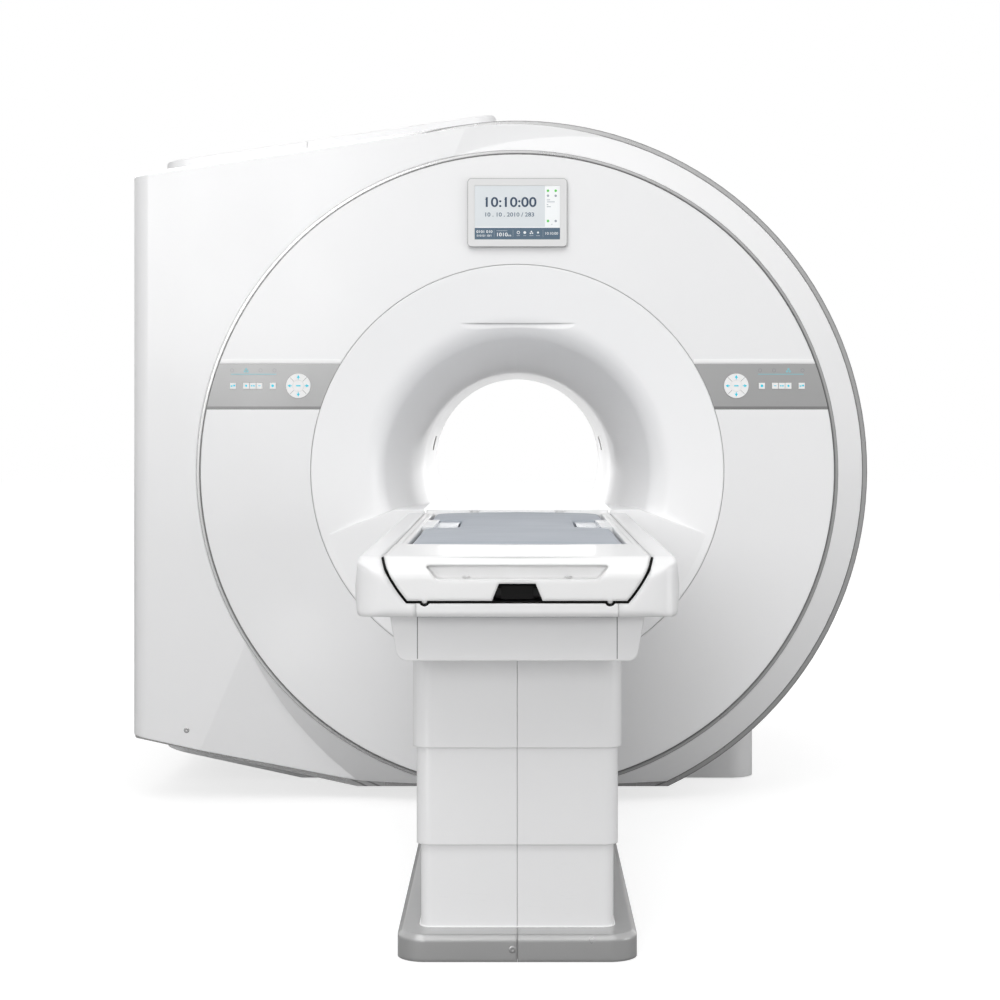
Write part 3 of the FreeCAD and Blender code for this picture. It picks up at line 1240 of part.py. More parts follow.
def makeBase():
    half, front, back = "dims.base_half", "-dims.base_front", "-dims.base_back"
    corner = "dims.base_round"
    low, top = "dims.base_floor_gap", "dims.base_height"
    slab = plateZ("base_slab", [(f"-{half}", front, corner), (half, front, corner), (half, back, corner),
                                (f"-{half}", back, corner)], low, top)
    doc.recompute()
    height = amount(top)
    edges = [i for i, edge in enumerate(slab.Shape.Edges, start=1)
             if all(abs(vertex.Z - height) < 0.001 for vertex in edge.Vertexes)]
    bevel = doc.addObject("Part::Chamfer", "base_bevelled")
    bevel.Base = slab
    size = amount("dims.base_bevel")
    bevel.Edges = [(i, size, size) for i in edges]
    wall = "(dims.base_wall * 2)"
    inside = plateZ("base_inside", [
        (f"-{half} + {wall}", f"{front} + {wall}", f"{corner} - {wall}"),
        (f"{half} - {wall}", f"{front} + {wall}", f"{corner} - {wall}"),
        (f"{half} - {wall}", f"{back} - {wall}", f"{corner} - {wall}"),
        (f"-{half} + {wall}", f"{back} - {wall}", f"{corner} - {wall}")], "-dims.cut_margin", f"{top} - {wall}")
    slot = block("link_slot", ("-dims.link_half - dims.slide_gap", f"{back} - dims.base_wall * 4", "-dims.cut_margin"),
                 ("dims.link_half + dims.slide_gap", f"{back} + dims.cut_margin",
                  "dims.base_plate + dims.slide_gap"))
    gap = "dims.slide_gap"
    opening = plateZ("base_opening", stageOutline(gap), "0", f"{top} + dims.cut_margin")
    shell = cut("base_shell", bevel, inside, opening, slot)
    seam = "dims.seam_gap / 2"
    far_low, far_high = f"{front} - dims.cut_margin", f"{back} + dims.cut_margin"
    wide = "(dims.base_half + dims.cut_margin)"
    keep("base_cover_left", common("base_cover_left", shell, block("base_left_half", (f"-{wide}", far_low, "0"),
                                                                   (f"-{seam}", far_high, top))))
    keep("base_cover_right", common("base_cover_right", shell, block("base_right_half", (seam, far_low, "0"),
                                                                     (wide, far_high, top))))


makeFace()
makePanels()
makeStrip("left", -1)
makeStrip("right", 1)
makeDisplay()
makeFlares()
makeBore()
makeMagnet()
makeFrame()
makeBody()
makeCaps()
makeTabletop()
makePad()
makeTableBody()
makeColumn()
makeBase()
doc.recompute()

# ---- checks and export --------------------------------------------------------------

broken = [item.Name for item in doc.Objects if "Invalid" in item.State or "Error" in item.State]
if broken:
    raise RuntimeError(f"these did not build: {broken}")
for name, item in nodes.items():
    if item.Shape.isNull() or not item.Shape.isValid() or item.Shape.Volume < 1:
        raise RuntimeError(f"{name} has no valid shape")

os.makedirs("parts", exist_ok=True)
for name, item in nodes.items():
    item.Shape.exportStep(f"parts/{name}.step")
    print(name, len(item.Shape.Solids), round(item.Shape.Volume / 1e6, 3), "litres")
print(len(nodes), "pieces")
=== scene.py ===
import bpy
import json
import math
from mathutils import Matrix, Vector
from mathutils.bvhtree import BVHTree


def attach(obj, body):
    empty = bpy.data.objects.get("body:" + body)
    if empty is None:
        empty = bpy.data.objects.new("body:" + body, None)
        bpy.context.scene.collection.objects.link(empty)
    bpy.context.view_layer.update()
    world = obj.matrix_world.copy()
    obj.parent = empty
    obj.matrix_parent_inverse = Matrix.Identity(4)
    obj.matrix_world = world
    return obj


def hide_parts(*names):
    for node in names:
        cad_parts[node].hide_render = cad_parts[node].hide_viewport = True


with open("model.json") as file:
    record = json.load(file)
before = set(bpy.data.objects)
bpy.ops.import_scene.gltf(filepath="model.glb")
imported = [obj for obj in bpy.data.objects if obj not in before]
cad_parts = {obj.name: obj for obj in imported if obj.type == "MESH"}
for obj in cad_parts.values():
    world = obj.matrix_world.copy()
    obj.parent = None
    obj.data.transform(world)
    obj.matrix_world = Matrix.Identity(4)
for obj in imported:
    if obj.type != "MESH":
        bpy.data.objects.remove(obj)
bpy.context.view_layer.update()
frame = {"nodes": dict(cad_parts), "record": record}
nodes = frame["nodes"]
print("frame loaded:", len(nodes), "nodes")

# Dressing for the scanner: finishes, the table's pad, painted shadow in the gap, screws, screen and key marks.
# Metres. X to the right, Y into the bore, Z up. The bore's axis is at height 1 m.

boreHeight = 1.0
hands = (("left", -1), ("right", 1))


# small helpers

def dropSelection():
    if bpy.context.object and bpy.context.object.mode != "OBJECT":
        bpy.ops.object.mode_set(mode="OBJECT")
    bpy.ops.object.select_all(action="DESELECT")


def pick(*chosen):
    dropSelection()
    for item in chosen:
        item.select_set(True)
    bpy.context.view_layer.objects.active = chosen[0]


def settle(piece):
    pick(piece)
    bpy.ops.object.transform_apply(location=True, rotation=True, scale=True)


def addModifier(piece, kind, **values):
    modifier = piece.modifiers.new(kind.lower(), kind)
    for name, value in values.items():
        setattr(modifier, name, value)
    pick(piece)
    bpy.ops.object.modifier_apply(modifier=modifier.name)


def joinUp(name, parts):
    pick(*parts)
    if len(parts) > 1:
        bpy.ops.object.join()
    piece = bpy.context.object
    piece.name = name
    piece.data.name = name
    settle(piece)
    return piece


def dress(piece, material, body):
    piece.data.materials.clear()
    piece.data.materials.append(material)
    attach(piece, body)
    return piece


def surfaceAt(node, x, z):
    mesh = nodes[node].data
    tree = BVHTree.FromPolygons([v.co for v in mesh.vertices], [p.vertices for p in mesh.polygons])
    point, normal, _, _ = tree.ray_cast(Vector((x, -4, z)), Vector((0, 1, 0)))
    return point, normal


# shared effects

def newGroup(name, inputs, outputs):
    tree = bpy.data.node_groups.new(name, "ShaderNodeTree")
    for label, kind, value in inputs:
        tree.interface.new_socket(label, in_out="INPUT", socket_type=kind).default_value = value
    for label, kind in outputs:
        tree.interface.new_socket(label, in_out="OUTPUT", socket_type=kind)
    return tree, tree.nodes.new("NodeGroupInput").outputs, tree.nodes.new("NodeGroupOutput").inputs


def calc(tree, kind, first, second=None, clamp=False):
    node = tree.nodes.new("ShaderNodeMath")
    node.operation = kind
    node.use_clamp = clamp
    for slot, value in zip(node.inputs, (first, second)):
        if value is None:
            continue
        if isinstance(value, (int, float)):
            slot.default_value = value
        else:
            tree.links.new(value, slot)
    return node.outputs[0]


def remap(tree, value, low, high, toLow, toHigh):
    node = tree.nodes.new("ShaderNodeMapRange")
    tree.links.new(value, node.inputs["Value"])
    for label, amount in (("From Min", low), ("From Max", high), ("To Min", toLow), ("To Max", toHigh)):
        if isinstance(amount, (int, float)):
            node.inputs[label].default_value = amount
        else:
            tree.links.new(amount, node.inputs[label])
    return node.outputs["Result"]


def spread(tree, value, toLow, toHigh):
    # most of a noise lies between these two values
    return remap(tree, value, 0.3, 0.7, toLow, toHigh)


def stretched(tree, point, scale):
    node = tree.nodes.new("ShaderNodeMapping")
    node.inputs["Scale"].default_value = scale
    tree.links.new(point, node.inputs["Vector"])
    return node.outputs["Vector"]


def noise(tree, point, scale, detail=2, rough=0.5):
    node = tree.nodes.new("ShaderNodeTexNoise")
    tree.links.new(point, node.inputs["Vector"])
    if isinstance(scale, (int, float)):
        node.inputs["Scale"].default_value = scale
    else:
        tree.links.new(scale, node.inputs["Scale"])
    node.inputs["Detail"].default_value = detail
    node.inputs["Roughness"].default_value = rough
    return node.outputs["Fac"]


ripplePlan = {"scale": 260.0, "driftScale": 3.0, "shallow": 0.6}


def makePeel(ripple):
    # the fine ripple of sprayed or moulded skin, with a slow drift in its depth
    tree, given, result = newGroup("skinRipple", [("Point", "NodeSocketVector", (0, 0, 0)),
                                                  ("Scale", "NodeSocketFloat", ripple["scale"])],
                                   [("Height", "NodeSocketFloat")])
    fine = noise(tree, given["Point"], given["Scale"], 1)
    drift = noise(tree, given["Point"], ripple["driftScale"], 1)
    tree.links.new(calc(tree, "MULTIPLY", fine, spread(tree, drift, ripple["shallow"], 1.0)), result["Height"])
    return tree


wipedPlan = {"streakStretch": (1.0, 1.0, 0.35), "streakScale": 7.0, "streakShare": 0.45,
             "cloudScale": 1.7, "cloudShare": 0.55, "range": (0.35, 0.65)}


def makeWiped(wiped):
    # hand marks and wiping change the gloss of a surface more than its colour
    tree, given, result = newGroup("wipedGloss", [("Point", "NodeSocketVector", (0, 0, 0)),
                                                  ("Low", "NodeSocketFloat", 0.3),
                                                  ("High", "NodeSocketFloat", 0.4)],
                                   [("Roughness", "NodeSocketFloat"), ("Shade", "NodeSocketFloat")])
    streak = noise(tree, stretched(tree, given["Point"], wiped["streakStretch"]), wiped["streakScale"], 3)
    cloud = noise(tree, given["Point"], wiped["cloudScale"], 2)
    both = calc(tree, "ADD", calc(tree, "MULTIPLY", streak, wiped["streakShare"]),
                calc(tree, "MULTIPLY", cloud, wiped["cloudShare"]))
    tree.links.new(remap(tree, both, *wiped["range"], given["Low"], given["High"]), result["Roughness"])
    tree.links.new(spread(tree, cloud, 0.0, 1.0), result["Shade"])
    return tree


scuffPlan = {"stretch": (14.0, 14.0, 220.0), "rough": 0.7, "cut": 0.66,
             "patchScale": 6.0, "patchRange": (0.5, 0.62)}


def makeScuffs(scuff):
    # sparse short scratches, thicker near the floor
    tree, given, result = newGroup("scuffMarks", [("Point", "NodeSocketVector", (0, 0, 0)),
                                                  ("Amount", "NodeSocketFloat", 0.5),
                                                  ("Reach", "NodeSocketFloat", 0.3)],
                                   [("Mask", "NodeSocketFloat")])
    split = tree.nodes.new("ShaderNodeSeparateXYZ")
    tree.links.new(given["Point"], split.inputs[0])
    long = noise(tree, stretched(tree, given["Point"], scuff["stretch"]), 1.0, 3, scuff["rough"])
    patch = noise(tree, given["Point"], scuff["patchScale"], 2)
    near = remap(tree, split.outputs["Z"], 0.0, given["Reach"], given["Amount"], 0.0)
    marks = calc(tree, "MULTIPLY", calc(tree, "GREATER_THAN", long, scuff["cut"]),
                 remap(tree, patch, *scuff["patchRange"], 0.0, 1.0))
    tree.links.new(calc(tree, "MULTIPLY", marks, near, True), result["Mask"])
    return tree


def makeSeamShade():
    # painted shade at the round covers' joints: each joint's dark line is widened with painted shade of their
    # rounded lips, a millimetre or so on both sides
    tree, given, result = newGroup("ringSeamShade", [("Point", "NodeSocketVector", (0, 0, 0)),
                                                ("Radius", "NodeSocketFloat", 0.623),
                                                ("Width", "NodeSocketFloat", 0.0015)],
                                   [("Mask", "NodeSocketFloat")])
    split = tree.nodes.new("ShaderNodeSeparateXYZ")
    tree.links.new(given["Point"], split.inputs[0])
    rise = calc(tree, "SUBTRACT", split.outputs["Z"], boreHeight)
    squares = calc(tree, "ADD", calc(tree, "MULTIPLY", split.outputs["X"], split.outputs["X"]),
                   calc(tree, "MULTIPLY", rise, rise))
    away = calc(tree, "ABSOLUTE", calc(tree, "SUBTRACT", calc(tree, "SQRT", squares), given["Radius"]))
    tree.links.new(remap(tree, away, 0.0, given["Width"], 1.0, 0.0), result["Mask"])
    return tree


skinRipple, wipedGloss = makePeel(ripplePlan), makeWiped(wipedPlan)
scuffMarks, ringSeamShade = makeScuffs(scuffPlan), makeSeamShade()


# finishes

class Finish:

    def __init__(self, name):
        self.material = bpy.data.materials.new(name)
        self.material.use_nodes = True
        self.tree = self.material.node_tree
        self.shader = self.tree.nodes["Principled BSDF"]
        self.point = self.tree.nodes.new("ShaderNodeTexCoord").outputs["Object"]

    def use(self, group, **values):
        node = self.tree.nodes.new("ShaderNodeGroup")
        node.node_tree = group
        self.tree.links.new(self.point, node.inputs["Point"])
        for label, value in values.items():
            node.inputs[label].default_value = value
        return node.outputs

    def mix(self, mask, first, second):
        node = self.tree.nodes.new("ShaderNodeMix")
        node.data_type = "RGBA"
        self.tree.links.new(mask, node.inputs["Factor"])
        for slot, value in ((node.inputs[6], first), (node.inputs[7], second)):
            if isinstance(value, (tuple, list)):
                slot.default_value = (*value[:3], 1)
            else:
                self.tree.links.new(value, slot)
        return node.outputs[2]

    def colour(self, value):
        self.tree.links.new(value, self.shader.inputs["Base Color"])

    def rough(self, value):
        self.tree.links.new(value, self.shader.inputs["Roughness"])

    def bump(self, height, depth, edge=0.0):
        node = self.tree.nodes.new("ShaderNodeBump")
        if edge:
            soft = self.tree.nodes.new("ShaderNodeBevel")
            soft.samples = 6
            soft.inputs["Radius"].default_value = edge
            self.tree.links.new(soft.outputs["Normal"], node.inputs["Normal"])
        node.inputs["Distance"].default_value = depth
        self.tree.links.new(height, node.inputs["Height"])
        self.tree.links.new(node.outputs["Normal"], self.shader.inputs["Normal"])

    def set(self, **values):
        for label, value in values.items():
            self.shader.inputs[label.replace("_", " ")].default_value = value


def sprayed(name, tone, shade, low, high, depth=0.00012, scale=260.0, seamShades=(), scuff=0.0, edge=0.0):
    finish = Finish(name)
    wiped = finish.use(wipedGloss, Low=low, High=high)
    colour = finish.mix(wiped["Shade"], tone, tuple(c * shade for c in tone))
    # each entry darkens a ring round the bore's axis: painted shade at a joint or groove
    for radius, width, dark in seamShades:
        mask = finish.use(ringSeamShade, Radius=radius, Width=width)["Mask"]
        colour = finish.mix(mask, colour, tuple(c * dark for c in tone))
    if scuff:
        mask = finish.use(scuffMarks, Amount=scuff, Reach=0.35)["Mask"]
        colour = finish.mix(mask, colour, tuple(c * 0.8 for c in tone))
    finish.colour(colour)
    finish.rough(wiped["Roughness"])
    finish.bump(finish.use(skinRipple, Scale=scale)["Height"], depth, edge=edge)
    return finish


def makeFinishes():
    made = {}
    white = (0.86, 0.86, 0.865)
    # tone, joint lines with painted shade (radius, width, dark), scuffs, rounded edge
    whites = {
        "cover_white": (white, ((0.623, 0.002, 0.6), (0.955, 0.002, 0.7)), 0.25, 0.005),
        # painted light: the flare's and the liner's whites are lighter than the covers' white, to lift the shade
        # inside the bore
        "flare_white": ((0.93, 0.93, 0.935), ((0.623, 0.002, 0.6),), 0, 0.008),
        "table_white": (white, (), 0.3, 0.004),
        "side_white": (white, (), 0.3, 0.020),
        "liner_white": ((0.90, 0.90, 0.905), (), 0, 0),
    }
    for slot, (tone, seamShades, scuff, edge) in whites.items():
        made[slot] = sprayed(slot, tone, 0.985, 0.30, 0.42, seamShades=seamShades, scuff=scuff, edge=edge)
        made[slot].set(Coat_Weight=0.25, Coat_Roughness=0.12, Specular_IOR_Level=0.4)
    made["tabletop_white"] = sprayed("tabletop_white", (0.88, 0.88, 0.88), 0.985, 0.30, 0.40, edge=0.012)
    made["tabletop_white"].set(Coat_Weight=0.3, Coat_Roughness=0.1)
    # painted shadow: dark rings on the trim, where its grooves and the gaps beside it fall into shade
    lines = {"trim_grey": ((0.955, 0.006, 0.15), (0.967, 0.0025, 0.5), (1.0495, 0.004, 0.3), (1.066, 0.004, 0.3))}
    softer = {"base_grey": 0.010, "strip_grey": 0.001}
    # tone, metal, gloss from and to, coat, scuffs
    metals = {
        "base_grey": ((0.40, 0.40, 0.40), 0.45, 0.26, 0.36, 0.8, 0.1),
        "strip_grey": ((0.38, 0.38, 0.38), 0.3, 0.32, 0.42, 0.3, 0.0),
        "trim_grey": ((0.42, 0.42, 0.42), 0.85, 0.22, 0.32, 0.2, 0.0),
        "frame_steel": ((0.30, 0.31, 0.33), 0.2, 0.45, 0.6, 0.0, 0.4),
        "bare_metal": ((0.62, 0.62, 0.64), 0.9, 0.3, 0.45, 0.0, 0.0),
        "magnet_paint": ((0.55, 0.56, 0.58), 0.0, 0.4, 0.55, 0.0, 0.2),
    }
    for slot, (tone, metal, low, high, coat, scuff) in metals.items():
        made[slot] = sprayed(slot, tone, 0.94, low, high, 0.00008, 700.0, seamShades=lines.get(slot, ()), scuff=scuff,
                             edge=softer.get(slot, 0))
        made[slot].set(Metallic=metal, Coat_Weight=coat, Coat_Roughness=0.15)
    # tone, gloss from and to, scale of the ripple
    plastics = {
        "bezel_grey": ((0.74, 0.74, 0.74), 0.35, 0.45, 380.0),
        "key_white": ((0.90, 0.90, 0.90), 0.38, 0.5, 500.0),
        "socket_plastic": ((0.80, 0.81, 0.82), 0.2, 0.3, 300.0),
        "latch_black": ((0.006, 0.006, 0.006), 0.5, 0.65, 900.0),
        "coil_resin": ((0.42, 0.36, 0.22), 0.45, 0.6, 120.0),
        "shadow_black": ((0.004, 0.004, 0.004), 0.7, 0.9, 700.0),
        "shadow_grey": ((0.36, 0.36, 0.36), 0.6, 0.8, 700.0),
        "screw_steel": ((0.40, 0.40, 0.40), 0.3, 0.4, 500.0),
        "mark_cyan": ((0.02, 0.62, 0.80), 0.35, 0.45, 500.0),
        "mark_faint": ((0.23, 0.24, 0.25), 0.35, 0.45, 500.0),
        "mark_line": ((0.24, 0.52, 0.58), 0.35, 0.45, 500.0),
        # a whiter white for the painted highlights
        "highlight_white": ((0.96, 0.96, 0.96), 0.3, 0.4, 500.0),
        "mark_navy": ((0.006, 0.035, 0.085), 0.3, 0.4, 500.0),
        "mark_slate": ((0.07, 0.12, 0.18), 0.3, 0.4, 500.0),
        "mark_green": ((0.09, 0.60, 0.07), 0.3, 0.4, 500.0),
        "mark_grey": ((0.34, 0.37, 0.42), 0.3, 0.4, 500.0),
        "mark_white": ((0.80, 0.83, 0.85), 0.3, 0.4, 500.0),
        "mark_pale": ((0.40, 0.45, 0.50), 0.3, 0.4, 500.0),
    }
    for slot, (tone, low, high, scale) in plastics.items():
        made[slot] = sprayed(slot, tone, 0.96, low, high, 0.00005, scale)
    made["screw_steel"].set(Metallic=0.9)
    made["shadow_black"].set(Specular_IOR_Level=0.1)
    made["latch_black"].set(Specular_IOR_Level=0.15)
    return made


def within(tree, value, low, high):
    return calc(tree, "MULTIPLY", calc(tree, "GREATER_THAN", value, low), calc(tree, "LESS_THAN", value, high))


def splitPoint(finish):
    node = finish.tree.nodes.new("ShaderNodeSeparateXYZ")
    finish.tree.links.new(finish.point, node.inputs[0])
    return node.outputs["X"], node.outputs["Y"], node.outputs["Z"]


def overlay(finish, mask, colour):
    old = finish.shader.inputs["Base Color"].links[0].from_socket
    finish.colour(finish.mix(mask, old, colour))


def latchMouthShade(finish, latch):
    # painted shade: the walls inside the latch's mouth in the tabletop's nose are coloured black, for the dark of
    # the opening
    tree = finish.tree
    x, y, z = splitPoint(finish)
    wide = calc(tree, "LESS_THAN", calc(tree, "ABSOLUTE", x), latch["half"])
    low = calc(tree, "LESS_THAN", z, latch["top"])
    inside = calc(tree, "MULTIPLY", calc(tree, "MULTIPLY", wide, low), within(tree, y, *latch["depths"]))
    overlay(finish, inside, latch["tone"])


def creaseShadeLine(finish, crease):
    # painted shade: a fine dark line that tapers to both sides, standing in for the crease where the nose's top
    # meets its slope
    tree = finish.tree
    x, y, z = splitPoint(finish)
    away = calc(tree, "ABSOLUTE", calc(tree, "SUBTRACT", y, crease["y"]))
    limit = remap(tree, calc(tree, "ABSOLUTE", x), 0.0, crease["half"], crease["wide"], 0.0)
    thin = calc(tree, "LESS_THAN", away, limit)
    overlay(finish, calc(tree, "MULTIPLY", thin, calc(tree, "GREATER_THAN", z, crease["low"])), crease["tone"])


def boxSeams(finish, seam):
    # the underbox's front plate meets its side plates in two upright joints
    tree = finish.tree
    x, y, z = splitPoint(finish)
    away = calc(tree, "ABSOLUTE", calc(tree, "SUBTRACT", calc(tree, "ABSOLUTE", x), seam["half"]))
    front = calc(tree, "MULTIPLY", calc(tree, "LESS_THAN", y, seam["front"]), within(tree, z, *seam["heights"]))
    overlay(finish, calc(tree, "MULTIPLY", calc(tree, "LESS_THAN", away, seam["wide"]), front), seam["tone"])


def stripPaintedShade(finish, strip):
    # a brushed band with painted shade: a little lighter towards its upper edge and darker towards its lower one,
    # with a painted shadow line along the lower edge
    tree = finish.tree
    z = splitPoint(finish)[2]
    grain = noise(tree, stretched(tree, finish.point, strip["brushed"]), 1.0, 2)
    shade = calc(tree, "MULTIPLY", remap(tree, z, strip["foot"], strip["head"], strip["shade"], 0.0),
                 spread(tree, grain, *strip["grain"]), True)
    overlay(finish, shade, strip["deep"])
    overlay(finish, calc(tree, "LESS_THAN", z, strip["foot"] + strip["line"]), strip["dark"])


def bezelEdgeShade(finish, display):
    # painted shade: the turned-back outer edge of the display's frame is drawn as a thin grey outline, for the
    # shade on that edge
    tree = finish.tree
    x, _, z = splitPoint(finish)
    corner = display["bezelCorner"]
    squares = []
    for value, half in ((x, display["bezelHalf"][0]), (calc(tree, "SUBTRACT", z, display["centre"]),
                                                       display["bezelHalf"][1])):
        beyond = calc(tree, "MAXIMUM", calc(tree, "SUBTRACT", calc(tree, "ABSOLUTE", value), half - corner), 0.0)
        squares.append(calc(tree, "MULTIPLY", beyond, beyond))
    away = calc(tree, "SQRT", calc(tree, "ADD", *squares))
    inner, outer = (corner - inset for inset in display["outlineInsets"])
    overlay(finish, remap(tree, away, inner, outer, 0.0, 1.0), display["outline"])


def trayTone(finish, tray):
    # the inner tray of each coil socket is a clear smoky plastic
    tree = finish.tree
    x = splitPoint(finish)[0]
    overlay(finish, calc(tree, "LESS_THAN", calc(tree, "ABSOLUTE", x), tray["half"]), tray["tone"])


vinylPlan = {"pebbles": 620.0, "pebbleShare": 0.8, "pulls": (3.0, 40.0, 40.0), "pullShare": 0.5, "depth": 0.00012,
             "cloudScale": 5.0, "cloudShare": 0.35, "gloss": (0.58, 0.70), "low": (0.362, 0.390, 0.433),
             "high": (0.402, 0.431, 0.474), "cloud": (0.346, 0.374, 0.415)}


def makeVinyl(vinyl):
    # leather-like vinyl: a pebble grain, faint pulls across the table and a soft sheen
    finish = Finish("pad_vinyl")
    tree = finish.tree
    cells = tree.nodes.new("ShaderNodeTexVoronoi")
    cells.feature = "SMOOTH_F1"
    cells.inputs["Scale"].default_value = vinyl["pebbles"]
    tree.links.new(finish.point, cells.inputs["Vector"])
    pulls = noise(tree, stretched(tree, finish.point, vinyl["pulls"]), 1.0, 3)
    cloud = noise(tree, finish.point, vinyl["cloudScale"], 2)
    colour = finish.mix(remap(tree, pulls, 0.35, 0.65, 0.0, 1.0), vinyl["low"], vinyl["high"])
    colour = finish.mix(spread(tree, cloud, 0.0, vinyl["cloudShare"]), colour, vinyl["cloud"])
    finish.colour(colour)
    finish.rough(spread(tree, cloud, *vinyl["gloss"]))
    pebbles = calc(tree, "MULTIPLY", cells.outputs["Distance"], vinyl["pebbleShare"])
    finish.bump(calc(tree, "ADD", pebbles, calc(tree, "MULTIPLY", pulls, vinyl["pullShare"])), vinyl["depth"])
    finish.set(Sheen_Weight=0.1, Sheen_Roughness=0.5, Specular_IOR_Level=0.25)
    return finish


def makeScreen(display):
    # one panel of pale blue grey, a white column at the right and a slate bar along the bottom
    finish = Finish("screen")
    tree = finish.tree
    x, _, z = splitPoint(finish)
    column = calc(tree, "GREATER_THAN", x, display["columnLeft"])
    bar = calc(tree, "LESS_THAN", z, display["barTop"])
    gap = calc(tree, "LESS_THAN", calc(tree, "ABSOLUTE", calc(tree, "SUBTRACT", z, display["gapMiddle"])),
                display["gapHalf"])
    colour = finish.mix(column, display["panelTone"], display["columnTone"])
    colour = finish.mix(bar, colour, display["barTone"])
    colour = finish.mix(gap, colour, display["gapTone"])
    finish.colour(colour)
    rows = noise(tree, stretched(tree, finish.point, display["rows"]), 1.0, 0)
    finish.rough(spread(tree, rows, 0.16, 0.22))
    finish.bump(rows, 0.00002)
    return finish


# painted shade in the latch's mouth: its half width, top, depths and black
latchMouth = {"half": 0.0545, "top": 0.8224, "depths": (-2.9035, -2.84), "tone": (0.01, 0.01, 0.01)}
displayPlan = {"centre": 1.778, "front": -0.901, "columnLeft": 0.0832, "barTop": 1.7322,
               "gapMiddle": 1.7334, "gapHalf": 0.0014,
               "bezelHalf": (0.150, 0.103), "bezelCorner": 0.012,
               # the painted shade round the frame's edge: its tone and how far in it starts and ends
               "outline": (0.30, 0.30, 0.30), "outlineInsets": (0.0022, 0.0008),
               "panelTone": (0.715, 0.752, 0.775), "columnTone": (0.93, 0.95, 0.955),
               "barTone": (0.082, 0.138, 0.196), "gapTone": (0.90, 0.92, 0.93),
               "rows": (900.0, 1.0, 900.0)}
# painted shade for the nose's crease: where it lies, how far and wide, and its tone
creaseShadePlan = {"y": -2.8500, "half": 0.178, "wide": 0.0042, "low": 0.855, "tone": (0.50, 0.50, 0.50)}
seamPlan = {"half": 0.2077, "front": -2.80, "heights": (0.660, 0.7495), "wide": 0.0009, "tone": (0.16, 0.16, 0.16)}
# painted shade on the strips: where it starts and ends, its tone and grain, and the painted shadow line along the
# foot
bandPlan = {"foot": 1.1870, "head": 1.3290, "line": 0.0078, "deep": (0.30, 0.30, 0.30), "dark": (0.20, 0.20, 0.20),
            "brushed": (6.0, 1.0, 900.0), "shade": 0.35, "grain": (0.8, 1.2)}
trayPlan = {"half": 0.2195, "tone": (0.47, 0.50, 0.54)}

finishes = makeFinishes()
latchMouthShade(finishes["tabletop_white"], latchMouth)
creaseShadeLine(finishes["tabletop_white"], creaseShadePlan)
boxSeams(finishes["table_white"], seamPlan)
stripPaintedShade(finishes["strip_grey"], bandPlan)
bezelEdgeShade(finishes["bezel_grey"], displayPlan)
trayTone(finishes["socket_plastic"], trayPlan)
finishes["pad_vinyl"] = makeVinyl(vinylPlan)
finishes["screen"] = makeScreen(displayPlan)
slotOf = {row["node"]: row["material_slot"] for row in frame["record"]["subparts"]}
for name, item in nodes.items():
    finish = "side_white" if name.startswith("table_side_cover") else slotOf[name]
    item.data.materials.clear()
    item.data.materials.append(finishes[finish].material)
print("finishes made:", len(finishes))


# camera, light and floor

def makeCamera(view):
    data = bpy.data.cameras.new("camera")
    data.lens = view["lens"]
    data.sensor_width = view["sensor"]
    data.shift_x, data.shift_y = view["shift"]
    data.clip_end = view["reach"]
    item = bpy.data.objects.new("camera", data)
    item.location = view["place"]
    item.rotation_euler = (math.pi / 2, 0, 0)
    bpy.context.scene.collection.objects.link(item)
    bpy.context.scene.camera = item


def addLamp(name, place, aim, size, power):
    data = bpy.data.lights.new(name, "AREA")
    data.shape = "RECTANGLE"
    data.size, data.size_y = size
    data.energy = power
    item = bpy.data.objects.new(name, data)
    item.location = place
    item.rotation_euler = (Vector(aim) - Vector(place)).to_track_quat("-Z", "Y").to_euler()
    item.visible_camera = False
    bpy.context.scene.collection.objects.link(item)


def makeStudio(studio):
    bpy.context.scene.view_settings.view_transform = "Standard"
    world = bpy.data.worlds.new("studio")
    bpy.context.scene.world = world
    world.use_nodes = True
    tree = world.node_tree
    background = tree.nodes["Background"]
    background.inputs["Color"].default_value = (1, 1, 1, 1)
    path = tree.nodes.new("ShaderNodeLightPath")
    seen = calc(tree, "MAXIMUM", path.outputs["Is Camera Ray"],
                calc(tree, "MAXIMUM", path.outputs["Is Glossy Ray"], path.outputs["Is Transmission Ray"]))
    # the room is brightest overhead and darker towards both sides, and plain white where it is seen
    split = tree.nodes.new("ShaderNodeSeparateXYZ")
    tree.links.new(tree.nodes.new("ShaderNodeTexCoord").outputs["Generated"], split.inputs[0])
    sides = remap(tree, calc(tree, "ABSOLUTE", split.outputs["X"]), *studio["sideReach"], 1.0, studio["sides"])
    above = remap(tree, split.outputs["Z"], *studio["heightReach"], studio["low"], studio["high"])
    light = calc(tree, "MULTIPLY", sides, above)
    tree.links.new(remap(tree, seen, 0.0, 1.0, light, 1.0), background.inputs["Strength"])
    for lamp in studio["lamps"]:
        addLamp(*lamp)

    dropSelection()
    bpy.ops.mesh.primitive_plane_add(size=studio["floorSize"], location=(0, 0, studio["floorHeight"]))
    floor = bpy.context.object
    floor.name = "studioFloor"
    settle(floor)
    material = bpy.data.materials.new("floorWhite")
    material.use_nodes = True
    tree = material.node_tree
    shader = tree.nodes["Principled BSDF"]
    shader.inputs["Base Color"].default_value = (*studio["floorTone"], 1)
    shader.inputs["Roughness"].default_value = studio["floorRough"]
    shader.inputs["Specular IOR Level"].default_value = studio["floorShine"]
    path = tree.nodes.new("ShaderNodeLightPath")
    seen = calc(tree, "MAXIMUM", path.outputs["Is Camera Ray"], path.outputs["Is Transmission Ray"])
    shader.inputs["Emission Color"].default_value = (1, 1, 1, 1)
    tree.links.new(calc(tree, "MULTIPLY", seen, studio["floorLift"]), shader.inputs["Emission Strength"])
    floor.data.materials.append(material)


